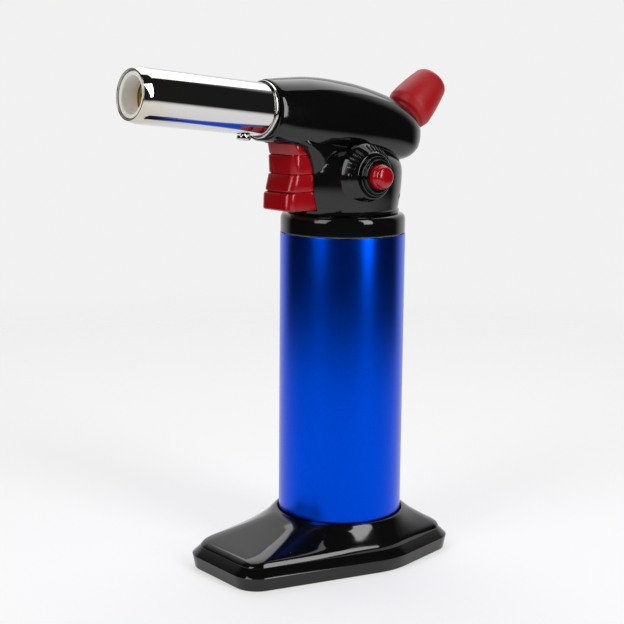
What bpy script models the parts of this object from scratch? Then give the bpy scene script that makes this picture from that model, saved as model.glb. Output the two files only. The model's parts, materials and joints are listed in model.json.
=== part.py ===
"""Table-top gas torch: a stand, an upright fuel tank in a metal sleeve, and a pistol-shaped burner head.

The tank stands upright. The burner points along -X and a little upwards, the gas knob points back along +X, and
the dial with the lock button is on the -Y side. Sizes are in metres, and the underside of the stand is Z = 0.
Every piece hangs on one empty on the tank's axis, and the empty's X puts the object's middle at the origin.
"""

import math

import bmesh
import bpy
from mathutils import Vector

MM = 0.001

# ---------------------------------------------------------------- driving dimensions
PIECE_GAP = 0.3 * MM
SLIDE_GAP = 0.35 * MM
ROUND_STEPS = 40
INNER_STEPS = 24
SMALL_STEPS = 12

# Stand
STAND_FRONT = 61.3 * MM
STAND_REAR = 38.2 * MM
STAND_FRONT_HALF = 20.3 * MM
STAND_HALF_WIDTH = 35.3 * MM
STAND_REAR_HALF = 26.8 * MM
STAND_CORNER = 9.8 * MM
STAND_SIDE_CORNER = 30.0 * MM
STAND_UNDERCUT = 1.0 * MM
STAND_BAND = 5.4 * MM
STAND_CHAMFER_TOP = 8.3 * MM
STAND_CHAMFER_IN = 2.2 * MM
STAND_TOP = 17.8 * MM
STAND_WALL = 2.6 * MM
SOCKET_FLOOR = 7.0 * MM
SOCKET_FLOOR_WALL = 2.4 * MM
REFILL_OPENING = 12.5 * MM
PLATE_THICKNESS = 2.0 * MM
STAND_SCREWS = [
    (-50.0 * MM, 12.0 * MM), (-50.0 * MM, -12.0 * MM), (29.0 * MM, 14.0 * MM),
    (29.0 * MM, -14.0 * MM),
]
STAND_SCREW_RADIUS = 1.2 * MM
STAND_SCREW_HEAD = 2.6 * MM
STAND_SCREW_LENGTH = 6.6 * MM
STAND_BOSS = 3.0 * MM

# Tank
SLEEVE_RADIUS = 25.0 * MM
SLEEVE_WALL = 0.8 * MM
SLEEVE_TOP = 131.7 * MM
TANK_WALL = 2.0 * MM
TANK_FLOOR = 3.0 * MM
TANK_CAP_PLUG = 5.0 * MM
TANK_CAP_FLANGE = 2.4 * MM
SEAL_RING = 0.8 * MM
COLLAR_RADIUS = 24.9 * MM
COLLAR_HEIGHT = 7.6 * MM
COLLAR_ROUND = 2.3 * MM
COLLAR_BORE = 20.3 * MM

# Refill valve, under the tank
REFILL_BODY_RADIUS = 4.0 * MM
REFILL_BODY_LENGTH = 13.0 * MM
REFILL_FLANGE_RADIUS = 6.0 * MM
REFILL_FLANGE = 1.5 * MM
REFILL_STEM_RADIUS = 1.5 * MM
REFILL_STEM_OUT = 1.2 * MM
REFILL_TRAVEL = 1.5 * MM
REFILL_STEM_LENGTH = 7.0 * MM

# Outlet valve, on the tank
OUTLET_BODY_RADIUS = 5.0 * MM
OUTLET_BODY_DEPTH = 12.0 * MM
OUTLET_NECK_RADIUS = 3.0 * MM
OUTLET_NECK = 5.0 * MM
OUTLET_FLANGE_RADIUS = 7.0 * MM
OUTLET_FLANGE = 1.6 * MM
OUTLET_STEM_RADIUS = 1.4 * MM
OUTLET_STEM_COLLAR = 3.0 * MM
OUTLET_STEM_COLLAR_HEIGHT = 0.6 * MM
DIP_TUBE_RADIUS = 1.9 * MM
DIP_TUBE_BORE = 1.1 * MM
DIP_TUBE_CLEARANCE = 4.0 * MM

# Head
HEAD_WALL = 2.2 * MM
NECK_LIP = 1.2 * MM
NECK_RADII = [
    (1.5, 21.7), (6.0, 22.3), (12.0, 23.0), (17.0, 23.2), (20.5, 22.7), (23.2, 21.0), (25.2, 18.2),
    (26.4, 15.0),
]
NECK_LIP_RADIUS = 22.4 * MM
NECK_HOLLOW = [
    (0.0, 19.5), (12.0, 20.8), (18.0, 20.8), (21.0, 20.0), (23.2, 18.2), (24.4, 12.0), (26.4, 9.5),
    (31.0, 9.5),
]
HOOD_SQUARENESS = 2.6
SPLIT_GAP = 0.3 * MM
HOOD_STATIONS = [
    (-36.0, 179.8, 12.1, 12.1),
    (-28.0, 178.8, 13.4, 13.3),
    (-18.0, 177.8, 14.8, 14.4),
    (-6.0, 176.6, 15.5, 14.7),
    (6.0, 175.1, 15.6, 14.1),
    (16.0, 173.3, 15.2, 13.0),
    (24.0, 171.4, 14.0, 11.0),
    (29.6, 169.5, 11.6, 7.9),
    (33.6, 168.4, 7.4, 4.0),
]
HOOD_REAR = 35.3 * MM
HOOD_REAR_HEIGHT = 168.2 * MM
HOOD_MOUTH_RADIUS = 11.6 * MM
HEAD_SCREWS = [(12.0 * MM, 147.0 * MM), (30.0 * MM, 166.0 * MM), (4.0 * MM, 183.4 * MM)]
HEAD_SCREW_RADIUS = 1.1 * MM
HEAD_SCREW_HEAD = 2.2 * MM
HEAD_SCREW_HEAD_HEIGHT = 1.6 * MM
HEAD_BOSS = 2.5 * MM
BOSS_COVER = 0.7 * MM
HEAD_SCREW_GRIP = 6.0 * MM

# Burner
BURNER_TILT = 0.100
BURNER_HEIGHT = 176.3 * MM
BURNER_LENGTH = 98.5 * MM
BURNER_RADIUS = 10.08 * MM
BURNER_WALL = 0.78 * MM
BURNER_START = 21.0 * MM
MUZZLE_RADIUS = BURNER_RADIUS - 0.88 * MM
MUZZLE_BEVEL = 3.4 * MM
MUZZLE_BORE = MUZZLE_RADIUS - 0.55 * MM
FLANGE_PLACE = 41.7 * MM
FLANGE_RADIUS = BURNER_RADIUS + 0.82 * MM
FLANGE_THICKNESS = 1.2 * MM
LINER_START = 89.2 * MM
LINER_BORE = 6.4 * MM
LINER_FACE_IN = 0.4 * MM
BURNER_DISC_RADIUS = BURNER_RADIUS - 1.28 * MM
BURNER_DISC_THICKNESS = 5.0 * MM
BURNER_HOLES = 7
BURNER_HOLE_RADIUS = 0.85 * MM
BURNER_HOLE_CIRCLE = 3.7 * MM
MIXER_RADIUS = 4.0 * MM
MIXER_WALL = 0.9 * MM
MIXER_START = 14.0 * MM
MIXER_FLARE = BURNER_DISC_RADIUS - 0.8 * MM
AIR_HOLES = 4
AIR_HOLE_RADIUS = 1.4 * MM
JET_LENGTH = 9.0 * MM
JET_RADIUS = 4.5 * MM
JET_TIP_RADIUS = 1.5 * MM
JET_TIP = 3.0 * MM
ELECTRODE_RADIUS = 0.6 * MM
ELECTRODE_OFFSET = BURNER_DISC_RADIUS - 1.0 * MM
ELECTRODE_PAST_DISC = 1.5 * MM
INSULATOR_RADIUS = 1.2 * MM
TUBE_SCREW_PLACE = 48.0 * MM
TUBE_SCREW_HEAD = 2.75 * MM
TUBE_SCREW_HEAD_HEIGHT = 1.9 * MM
TUBE_SCREW_RADIUS = 1.2 * MM

# Trigger and igniter
TRIGGER_HALF_WIDTH = 8.9 * MM
TRIGGER_BOTTOM = 142.0 * MM
TRIGGER_TOP = 168.0 * MM
TRIGGER_FRONT = [
    (0.0, 34.3), (7.0, 34.0), (8.2, 32.9), (14.4, 31.4), (15.2, 31.0), (21.6, 31.4), (22.4, 31.0),
    (26.0, 31.9),
]
TRIGGER_BACK = 14.4 * MM
TRIGGER_SHOULDER_HALF = 10.4 * MM
TRIGGER_SHOULDER = 2.0 * MM
TRIGGER_STOP = 2.8 * MM
TRIGGER_STOP_HALF = 11.8 * MM
TRIGGER_WALL = 2.2 * MM
TRIGGER_POCKET_HALF = 6.2 * MM
TRIGGER_TRAVEL = 4.5 * MM
TONGUE_LOW = 142.4 * MM
TONGUE_HEIGHT = 2.0 * MM
TONGUE_NEAR = 6.0 * MM
TONGUE_FAR = 8.5 * MM
PIEZO_HEIGHT = 158.5 * MM
PIEZO_HALF = 4.5 * MM
PIEZO_FRONT = 17.0 * MM
PIEZO_REAR = 8.0 * MM
STEM_RECESS = 0.9 * MM
PLUNGER_HALF = 2.8 * MM
PLUNGER_INSIDE = 9.0 * MM

# Valve lever
LEVER_PIVOT_X = -5.6 * MM
LEVER_PIVOT_Z = 151.0 * MM
LEVER_HUB = 2.2 * MM
LEVER_PIN_RADIUS = 1.0 * MM
LEVER_ARM_HALF = 1.2 * MM
LEVER_NOSE = 4.8 * MM
LEVER_PRONG = 1.4 * MM
BRACKET_LEFT = -6.2 * MM
BRACKET_RIGHT = 10.9 * MM
BRACKET_SHEET = 1.3 * MM
BRACKET_REACH = 9.0 * MM

# Gas knob and regulator
KNOB_X = 33.4 * MM
KNOB_Z = 178.9 * MM
KNOB_TILT = math.radians(42.0)
KNOB_RADIUS = 9.6 * MM
KNOB_TOP_RADIUS = 7.2 * MM
KNOB_LENGTH = 19.2 * MM
KNOB_ROUND = 3.0 * MM
KNOB_FOOT = 3.2 * MM
KNOB_FOOT_RADIUS = 7.4 * MM
SPINDLE_RADIUS = 2.0 * MM
SPINDLE_IN_KNOB = 8.0 * MM
REGULATOR_NEAR = 12.5 * MM
REGULATOR_LENGTH = 13.5 * MM
REGULATOR_RADIUS = 5.0 * MM
SPINDLE_IN_REGULATOR = 8.0 * MM

# Dial and buttons
DIAL_X = -4.0 * MM
DIAL_Z = 155.3 * MM
BOSS_FOOT = 16.5 * MM
BOSS_FOOT_RADIUS = 12.4 * MM
BOSS_SHOULDER = 18.4 * MM
BOSS_FACE = 23.6 * MM
BOSS_FACE_RADIUS = 8.7 * MM
DIAL_BORE = 6.9 * MM
DIAL_RADIUS = 7.7 * MM
DIAL_RIM = 1.1 * MM
DIAL_STEP_RADIUS = 6.5 * MM
DIAL_STEP = 1.0 * MM
DIAL_FLANGE_RADIUS = 7.5 * MM
DIAL_FLANGE = 1.2 * MM
DIAL_FLOOR = 0.9 * MM
LOCK_RADIUS = 4.75 * MM
LOCK_OUT = 4.6 * MM
LOCK_LENGTH = 10.5 * MM
LOCK_TRAVEL = 2.0 * MM
SAFETY_Z = 146.3 * MM
SAFETY_RADIUS = 2.0 * MM
SAFETY_OUT = 1.8 * MM
SAFETY_FLANGE_RADIUS = 3.2 * MM
SAFETY_FLANGE = 1.3 * MM
SAFETY_TRAVEL = 1.3 * MM

# Springs, hose and wire
SPRING_SIDES = 0
SPRING_STEPS = 8
HOSE_RADIUS = 1.5 * MM
PIPE_RADIUS = 1.2 * MM
WIRE_RADIUS = 0.8 * MM

# ---------------------------------------------------------------- worked out from the driving dimensions
COLLAR_BASE = SLEEVE_TOP + PIECE_GAP
COLLAR_TOP = COLLAR_BASE + COLLAR_HEIGHT
NECK_BASE = COLLAR_TOP + PIECE_GAP
SLEEVE_BOTTOM = SOCKET_FLOOR + PIECE_GAP
SLEEVE_BORE = SLEEVE_RADIUS - SLEEVE_WALL
TANK_RADIUS = SLEEVE_BORE - PIECE_GAP
TANK_BORE = TANK_RADIUS - TANK_WALL
TANK_TOP = SLEEVE_TOP - PIECE_GAP - 0.4 * MM
CAP_TOP = TANK_TOP + PIECE_GAP + TANK_CAP_FLANGE
BURNER_BORE = BURNER_RADIUS - BURNER_WALL
STEM_LIFT = 0.57 * TRIGGER_TRAVEL


def along_burner(place, out=0.0):
    """A point (x, z) at a distance along the burner's axis, and a distance out of it, upwards."""
    x = -place * math.cos(BURNER_TILT) + out * math.sin(BURNER_TILT)
    z = BURNER_HEIGHT + place * math.sin(BURNER_TILT) + out * math.cos(BURNER_TILT)
    return x, z


def along_knob(place):
    """A point (x, z) on the knob's axis, at a distance from the knob's widest ring."""
    return KNOB_X + place * math.cos(KNOB_TILT), KNOB_Z + place * math.sin(KNOB_TILT)


def arc(centre, radius, start, end, steps):
    """Points on an arc, from one angle to another, in degrees."""
    points = []
    for i in range(steps + 1):
        angle = math.radians(start + (end - start) * i / steps)
        points.append((centre[0] + radius * math.cos(angle), centre[1] + radius * math.sin(angle)))
    return points


def knob_profile():
    """(radius, place along the axis) of the knob's outside, from its foot to its crown."""
    crown = (KNOB_TOP_RADIUS - KNOB_ROUND, KNOB_LENGTH - KNOB_ROUND)
    middle = (0.5 * (KNOB_RADIUS + KNOB_TOP_RADIUS) + 0.5 * MM, 0.5 * KNOB_LENGTH)
    foot = [(KNOB_FOOT_RADIUS, -KNOB_FOOT), (KNOB_RADIUS - 0.2 * MM, -0.5 * MM), (KNOB_RADIUS, 0.4 * MM)]
    return foot + [middle] + arc(crown, KNOB_ROUND, 10, 80, 4) + [(0.0, KNOB_LENGTH + 0.3 * MM)]


def knob_reach():
    """How far the knob reaches back from the tank's axis."""
    return max(along_knob(place)[0] + radius * math.sin(KNOB_TILT) for radius, place in knob_profile())


def burner_reach():
    """How far the muzzle reaches forward from the tank's axis."""
    return -along_burner(BURNER_LENGTH, -MUZZLE_RADIUS)[0]


FRAME_X = 0.5 * (burner_reach() - knob_reach())


# ---------------------------------------------------------------- tools
def clear_scene():
    for obj in list(bpy.data.objects):
        bpy.data.objects.remove(obj, do_unlink=True)


def material(name, colour, roughness, metallic=0.0):
    made = bpy.data.materials.new(name)
    made.use_nodes = True
    shader = made.node_tree.nodes["Principled BSDF"]
    shader.inputs["Base Color"].default_value = (*colour, 1.0)
    shader.inputs["Roughness"].default_value = roughness
    shader.inputs["Metallic"].default_value = metallic
    made.diffuse_color = (*colour, 1.0)
    return made


def add(name, bm, finish=None, location=(0, 0, 0), rotation=(0, 0, 0)):
    """Makes an object of a bmesh, with its faces turned out, and hangs it on the frame."""
    bmesh.ops.remove_doubles(bm, verts=bm.verts, dist=0.001 * MM)
    bmesh.ops.recalc_face_normals(bm, faces=bm.faces)
    mesh = bpy.data.meshes.new(name)
    bm.to_mesh(mesh)
    bm.free()
    mesh.shade_smooth()
    mesh.set_sharp_from_angle(angle=math.radians(35))
    obj = bpy.data.objects.new(name, mesh)
    bpy.context.scene.collection.objects.link(obj)
    obj.parent = FRAME
    obj.location = location
    obj.rotation_euler = rotation
    if finish:
        mesh.materials.append(finish)
    else:
        obj.hide_render = True
        obj.display_type = "WIRE"
    return obj


def turned(name, profile, finish=None, location=(0, 0, 0), rotation=(0, 0, 0), steps=ROUND_STEPS):
    """A turned piece: (radius, height) points round its own Z, closed over the axis or back on themselves."""
    bm = bmesh.new()
    verts = [bm.verts.new((radius, 0.0, height)) for radius, height in profile]
    edges = [bm.edges.new(pair) for pair in zip(verts, verts[1:])]
    if profile[0][0] > 0 or profile[-1][0] > 0:
        edges.append(bm.edges.new((verts[-1], verts[0])))
    bmesh.ops.spin(
        bm, geom=verts + edges, axis=(0, 0, 1), cent=(0, 0, 0), angle=2 * math.pi, steps=steps,
        use_merge=True,
    )
    bmesh.ops.remove_doubles(bm, verts=bm.verts, dist=0.001 * MM)
    bmesh.ops.dissolve_degenerate(bm, edges=bm.edges, dist=0.001 * MM)
    return add(name, bm, finish, location, rotation)


def rod(radius, low, high):
    """The profile of a plain cylinder."""
    return [(0.0, low), (radius, low), (radius, high), (0.0, high)]


def pipe(radius, bore, low, high):
    """The profile of a plain tube."""
    return [(radius, low), (radius, high), (bore, high), (bore, low)]


def lofted(name, rings, finish=None, location=(0, 0, 0), loop=False):
    """Rings of equal point counts joined in order, capped at both ends or closed round into a loop."""
    bm = bmesh.new()
    rows = [[bm.verts.new(point) for point in ring] for ring in rings]
    pairs = list(zip(rows, rows[1:]))
    if loop:
        pairs.append((rows[-1], rows[0]))
    for low, high in pairs:
        for i in range(len(low)):
            k = (i + 1) % len(low)
            bm.faces.new((low[i], low[k], high[k], high[i]))
    if not loop:
        bm.faces.new(rows[0])
        bm.faces.new(rows[-1])
    return add(name, bm, finish, location)


def box(name, low, high, finish=None):
    bm = bmesh.new()
    bmesh.ops.create_cube(bm, size=1.0)
    for vert in bm.verts:
        vert.co = Vector(low[i] + (vert.co[i] + 0.5) * (high[i] - low[i]) for i in range(3))
    return add(name, bm, finish)


def combine(obj, other, operation):
    modifier = obj.modifiers.new(other.name, "BOOLEAN")
    modifier.operation = operation
    modifier.object = other
    modifier.solver = "MANIFOLD"
    other.hide_render = True
    other.display_type = "WIRE"
    return obj


def cut(obj, *others):
    for other in others:
        combine(obj, other, "DIFFERENCE")
    return obj


def join(obj, *others):
    for other in others:
        combine(obj, other, "UNION")
    return obj


def burner_place(place):
    x, z = along_burner(place)
    return {"location": (x, 0, z), "rotation": (0, BURNER_TILT - math.pi / 2, 0)}


def knob_place(place):
    x, z = along_knob(place)
    return {"location": (x, 0, z), "rotation": (0, math.pi / 2 - KNOB_TILT, 0)}


def dial_place():
    return {"location": (DIAL_X, 0, DIAL_Z), "rotation": (math.pi / 2, 0, 0)}


def coil(name, start, axis, length, radius, wire, turns, finish):
    """A compression spring from start along axis, as a curve with a round bevel."""
    axis = Vector(axis).normalized()
    side = axis.orthogonal().normalized()
    up = axis.cross(side)
    curve = bpy.data.curves.new(name, "CURVE")
    curve.dimensions = "3D"
    spline = curve.splines.new("POLY")
    count = turns * SPRING_STEPS
    spline.points.add(count)
    for i in range(count + 1):
        angle = 2 * math.pi * i / SPRING_STEPS
        point = side * math.cos(angle) * radius + up * math.sin(angle) * radius
        point += axis * (wire + (length - 2 * wire) * i / count)
        spline.points[i].co = (*point, 1.0)
    curve.bevel_depth = wire
    curve.bevel_resolution = SPRING_SIDES
    curve.use_fill_caps = True
    curve.materials.append(finish)
    return hang_curve(name, curve, start)


def smooth_route(points, step):
    """Points of a Catmull-Rom curve through the given points, about one for each step of its length."""
    points = [Vector(point) for point in points]
    padded = [2 * points[0] - points[1]] + points + [2 * points[-1] - points[-2]]
    route = []
    for a, b, c, d in zip(padded, padded[1:], padded[2:], padded[3:]):
        count = max(2, round((c - b).length / step))
        for i in range(count):
            t = i / count
            bend = (2 * a - 5 * b + 4 * c - d) * t * t + (3 * b - a - 3 * c + d) * t * t * t
            route.append(0.5 * (2 * b + (c - a) * t + bend))
    return route + [points[-1]]


def hose(name, points, radius, finish):
    curve = bpy.data.curves.new(name, "CURVE")
    curve.dimensions = "3D"
    spline = curve.splines.new("POLY")
    route = smooth_route(points, 3.0 * radius)
    spline.points.add(len(route) - 1)
    for point, place in zip(spline.points, route):
        point.co = (*place, 1.0)
    curve.bevel_depth = radius
    curve.bevel_resolution = 1
    curve.use_fill_caps = True
    curve.materials.append(finish)
    return hang_curve(name, curve, (0, 0, 0))


def hang_curve(name, curve, location):
    obj = bpy.data.objects.new(name, curve)
    bpy.context.scene.collection.objects.link(obj)
    obj.parent = FRAME
    obj.location = location
    return obj


# ---------------------------------------------------------------- stand
def stand_corners(grow):
    """The stand's corners in plan, with every side moved out by grow, and their radii."""
    corners = [
        (-STAND_FRONT, -STAND_FRONT_HALF, STAND_CORNER),
        (0.0, -STAND_HALF_WIDTH, STAND_SIDE_CORNER),
        (STAND_REAR, -STAND_REAR_HALF, STAND_CORNER),
        (STAND_REAR, STAND_REAR_HALF, STAND_CORNER),
        (0.0, STAND_HALF_WIDTH, STAND_SIDE_CORNER),
        (-STAND_FRONT, STAND_FRONT_HALF, STAND_CORNER),
    ]
    moved = []
    for i, (x, y, radius) in enumerate(corners):
        here = Vector((x, y))
        back = (here - Vector(corners[i - 1][:2])).normalized()
        ahead = (Vector(corners[(i + 1) % len(corners)][:2]) - here).normalized()
        out_back = Vector((back.y, -back.x))
        out_ahead = Vector((ahead.y, -ahead.x))
        half = (out_back + out_ahead).normalized()
        place = here + half * (grow / half.dot(out_back))
        moved.append((place, back, ahead, max(radius + grow, 1.5 * MM)))
    return moved


def stand_outline(grow):
    """Points round the stand in plan: each corner an arc, with a few points along each side."""
    arc_steps = [4, 3, 4, 4, 3, 4]
    side_steps = [3, 2, 3, 2, 3, 3]
    arcs = []
    for (place, back, ahead, radius), steps in zip(stand_corners(grow), arc_steps):
        turn = back.angle(ahead)
        centre = place - back * radius * math.tan(turn / 2) + Vector((-back.y, back.x)) * radius
        start = math.atan2(-back.x, back.y)
        points = []
        for i in range(steps + 1):
            angle = start + turn * i / steps
            points.append(centre + radius * Vector((math.cos(angle), math.sin(angle))))
        arcs.append(points)
    outline = []
    for i, points in enumerate(arcs):
        outline += points
        target = arcs[(i + 1) % len(arcs)][0]
        for k in range(1, side_steps[i]):
            outline.append(points[-1].lerp(target, k / side_steps[i]))
    return outline


def blend_ring(outline, radius, share, height):
    """A ring between the outline, at share 0, and a circle round the tank, at share 1."""
    return [(*point.lerp(point.normalized() * radius, share), height) for point in outline]


def stand_top_rings():
    """The stand's upper surface: a soft shoulder, then a hollow slope up to the foot of the sleeve."""
    edge = stand_outline(STAND_UNDERCUT - STAND_CHAMFER_IN)
    foot = SLEEVE_RADIUS + PIECE_GAP + 1.4 * MM
    rise = STAND_TOP - STAND_CHAMFER_TOP
    slope = [(0.0, 0.0), (0.05, 0.19), (0.30, 0.37), (0.60, 0.54), (0.88, 0.80), (1.0, 0.97)]
    rings = [blend_ring(edge, foot, share, STAND_CHAMFER_TOP + rise * height) for share, height in slope]
    return rings + [blend_ring(edge, foot - 0.6 * MM, 1.0, STAND_TOP)]


def stand_shell(finish):
    pocket_top = STAND_TOP - 5.8 * MM
    edge = stand_outline(STAND_UNDERCUT - 5.0 * MM)
    pocket_radius = SLEEVE_RADIUS + PIECE_GAP + 2.9 * MM
    rings = [[(*point, 0.0) for point in stand_outline(0.0)]]
    rings.append([(*point, STAND_BAND) for point in stand_outline(STAND_UNDERCUT)])
    rings += stand_top_rings()
    rings.append([(*(point.normalized() * 10 * MM), STAND_TOP) for point in edge])
    rings.append([(*(point.normalized() * 10 * MM), SOCKET_FLOOR - SOCKET_FLOOR_WALL) for point in edge])
    rings.append(blend_ring(edge, pocket_radius, 1.0, SOCKET_FLOOR - SOCKET_FLOOR_WALL))
    rings.append(blend_ring(edge, pocket_radius + 0.4 * MM, 1.0, pocket_top))
    rings.append([(*point, STAND_CHAMFER_TOP - 2.1 * MM) for point in edge])
    inner = stand_outline(-STAND_WALL)
    rings.append([(*point, PLATE_THICKNESS + PIECE_GAP) for point in inner])
    rings.append([(*point, 0.0) for point in inner])
    shell = lofted("stand_shell", rings, finish, loop=True)
    boss_low = PLATE_THICKNESS + PIECE_GAP
    for i, (x, y) in enumerate(STAND_SCREWS):
        join(
            shell,
            turned(
                f"stand_boss_{i}", rod(STAND_BOSS, boss_low, STAND_CHAMFER_TOP + 0.4 * MM), None,
                (x, y, 0), steps=SMALL_STEPS,
            ),
        )
    socket = SLEEVE_RADIUS + PIECE_GAP
    cut(shell, turned("stand_socket", rod(socket, SOCKET_FLOOR, STAND_TOP + MM)))
    cut(shell, turned("stand_refill_way", rod(REFILL_OPENING, 0.0, STAND_TOP)))
    for i, (x, y) in enumerate(STAND_SCREWS):
        hole = rod(STAND_SCREW_RADIUS + PIECE_GAP, 0.0, STAND_SCREW_LENGTH + PIECE_GAP)
        cut(shell, turned(f"stand_boss_hole_{i}", hole, None, (x, y, 0), steps=SMALL_STEPS))
    return shell


def screw_profile(radius, head, length, head_height):
    """A pan head from 0 to head_height, and a shank up to length."""
    corner = 0.4 * head_height
    return [
        (0.0, 0.0), (head - corner, 0.0), (head, corner), (head, head_height),
        (radius, head_height), (radius, length), (0.0, length),
    ]


def stand_plate(rubber, steel):
    outline = stand_outline(-STAND_WALL - PIECE_GAP)
    plate = lofted(
        "stand_plate",
        [[(*point, height) for point in outline] for height in (0.0, PLATE_THICKNESS)], rubber,
    )
    cut(plate, turned("plate_refill_hole", rod(REFILL_OPENING, -MM, PLATE_THICKNESS + MM)))
    head_height = 1.0 * MM
    recess = 0.3 * MM
    for i, (x, y) in enumerate(STAND_SCREWS):
        profile = screw_profile(
            STAND_SCREW_RADIUS, STAND_SCREW_HEAD, STAND_SCREW_LENGTH - recess, head_height,
        )
        turned(f"stand_screw_{i + 1}", profile, steel, (x, y, recess), steps=SMALL_STEPS)
        wide = STAND_SCREW_HEAD + PIECE_GAP
        thin = STAND_SCREW_RADIUS + PIECE_GAP
        seat = recess + head_height + PIECE_GAP
        through = PLATE_THICKNESS + MM
        hole = [(0.0, -MM), (wide, -MM), (wide, seat), (thin, seat), (thin, through), (0.0, through)]
        cut(plate, turned(f"plate_screw_hole_{i}", hole, None, (x, y, 0), steps=SMALL_STEPS))
    return plate


# ---------------------------------------------------------------- tank
def tank(blue, plastic, black, rubber):
    turned("tank_sleeve", pipe(SLEEVE_RADIUS, SLEEVE_BORE, SLEEVE_BOTTOM, SLEEVE_TOP), blue)
    floor = SLEEVE_BOTTOM + TANK_FLOOR
    hole = REFILL_BODY_RADIUS + PIECE_GAP
    boss = hole + 2.2 * MM
    boss_top = floor + 3.0 * MM
    profile = [
        (hole, SLEEVE_BOTTOM), (TANK_RADIUS, SLEEVE_BOTTOM), (TANK_RADIUS, TANK_TOP),
        (TANK_BORE, TANK_TOP),
    ]
    profile += [(TANK_BORE, floor), (boss, floor), (boss, boss_top), (hole, boss_top)]
    turned("fuel_tank", profile, plastic, steps=INNER_STEPS)
    tank_cap(plastic, rubber)
    low = COLLAR_BASE
    inner = SLEEVE_BORE - 0.05 * MM
    web = CAP_TOP + PIECE_GAP
    corner = (COLLAR_RADIUS - COLLAR_ROUND, COLLAR_TOP - COLLAR_ROUND)
    collar = [(inner, low), (COLLAR_RADIUS, low)] + arc(corner, COLLAR_ROUND, 0, 90, 4)
    collar += [(COLLAR_BORE, COLLAR_TOP), (COLLAR_BORE, web), (inner, web)]
    turned("head_collar", collar, black)


def tank_cap(plastic, rubber):
    plug = TANK_BORE - PIECE_GAP
    low = TANK_TOP - TANK_CAP_PLUG
    flange_low = TANK_TOP + PIECE_GAP
    hole = OUTLET_BODY_RADIUS + PIECE_GAP
    groove = TANK_BORE - 2 * SEAL_RING - 0.1 * MM
    middle = low + 0.5 * TANK_CAP_PLUG
    half = SEAL_RING + 0.2 * MM
    profile = [
        (hole, low), (plug, low), (plug, middle - half), (groove, middle - half),
        (groove, middle + half),
    ]
    profile += [
        (plug, middle + half), (plug, flange_low), (TANK_RADIUS, flange_low),
        (TANK_RADIUS, CAP_TOP), (hole, CAP_TOP),
    ]
    turned("tank_cap", profile, plastic, steps=INNER_STEPS)
    centre = (TANK_BORE - SEAL_RING - 0.15 * MM + 0.1 * MM, middle)
    turned("tank_seal", arc(centre, SEAL_RING - 0.12 * MM, 0, 300, 5), rubber, steps=INNER_STEPS)


def refill_valve(brass, steel, rubber):
    low = SLEEVE_BOTTOM - PIECE_GAP - REFILL_FLANGE
    top = low + REFILL_BODY_LENGTH
    bore = REFILL_STEM_RADIUS + SLIDE_GAP
    chamber = REFILL_BODY_RADIUS - 1.0 * MM
    chamber_low = low + 3.0 * MM
    vent = 0.8 * MM
    profile = [(bore, low), (REFILL_FLANGE_RADIUS, low), (REFILL_FLANGE_RADIUS, low + REFILL_FLANGE)]
    profile += [(REFILL_BODY_RADIUS, low + REFILL_FLANGE), (REFILL_BODY_RADIUS, top), (vent, top)]
    profile += [
        (vent, top - 1.2 * MM), (chamber, top - 1.2 * MM), (chamber, chamber_low),
        (bore, chamber_low),
    ]
    turned("refill_valve_body", profile, brass, steps=20)
    collar = chamber - SLIDE_GAP
    seat = chamber_low + PIECE_GAP
    head = seat + 1.6 * MM
    stem = [
        (0.0, low - REFILL_STEM_OUT), (REFILL_STEM_RADIUS, low - REFILL_STEM_OUT),
        (REFILL_STEM_RADIUS, seat),
    ]
    stem += [
        (collar, seat), (collar, head), (0.9 * MM, head), (0.9 * MM, head + 1.5 * MM),
        (0.0, head + 1.5 * MM),
    ]
    moved = [(radius, height - seat) for radius, height in stem]
    turned("refill_stem", moved, steel, (0, 0, seat), steps=16)
    spring_low = head + PIECE_GAP
    length = top - 1.2 * MM - PIECE_GAP - spring_low
    coil("refill_spring", (0, 0, spring_low), (0, 0, 1), length, 1.9 * MM, 0.3 * MM, 4, steel)


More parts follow.
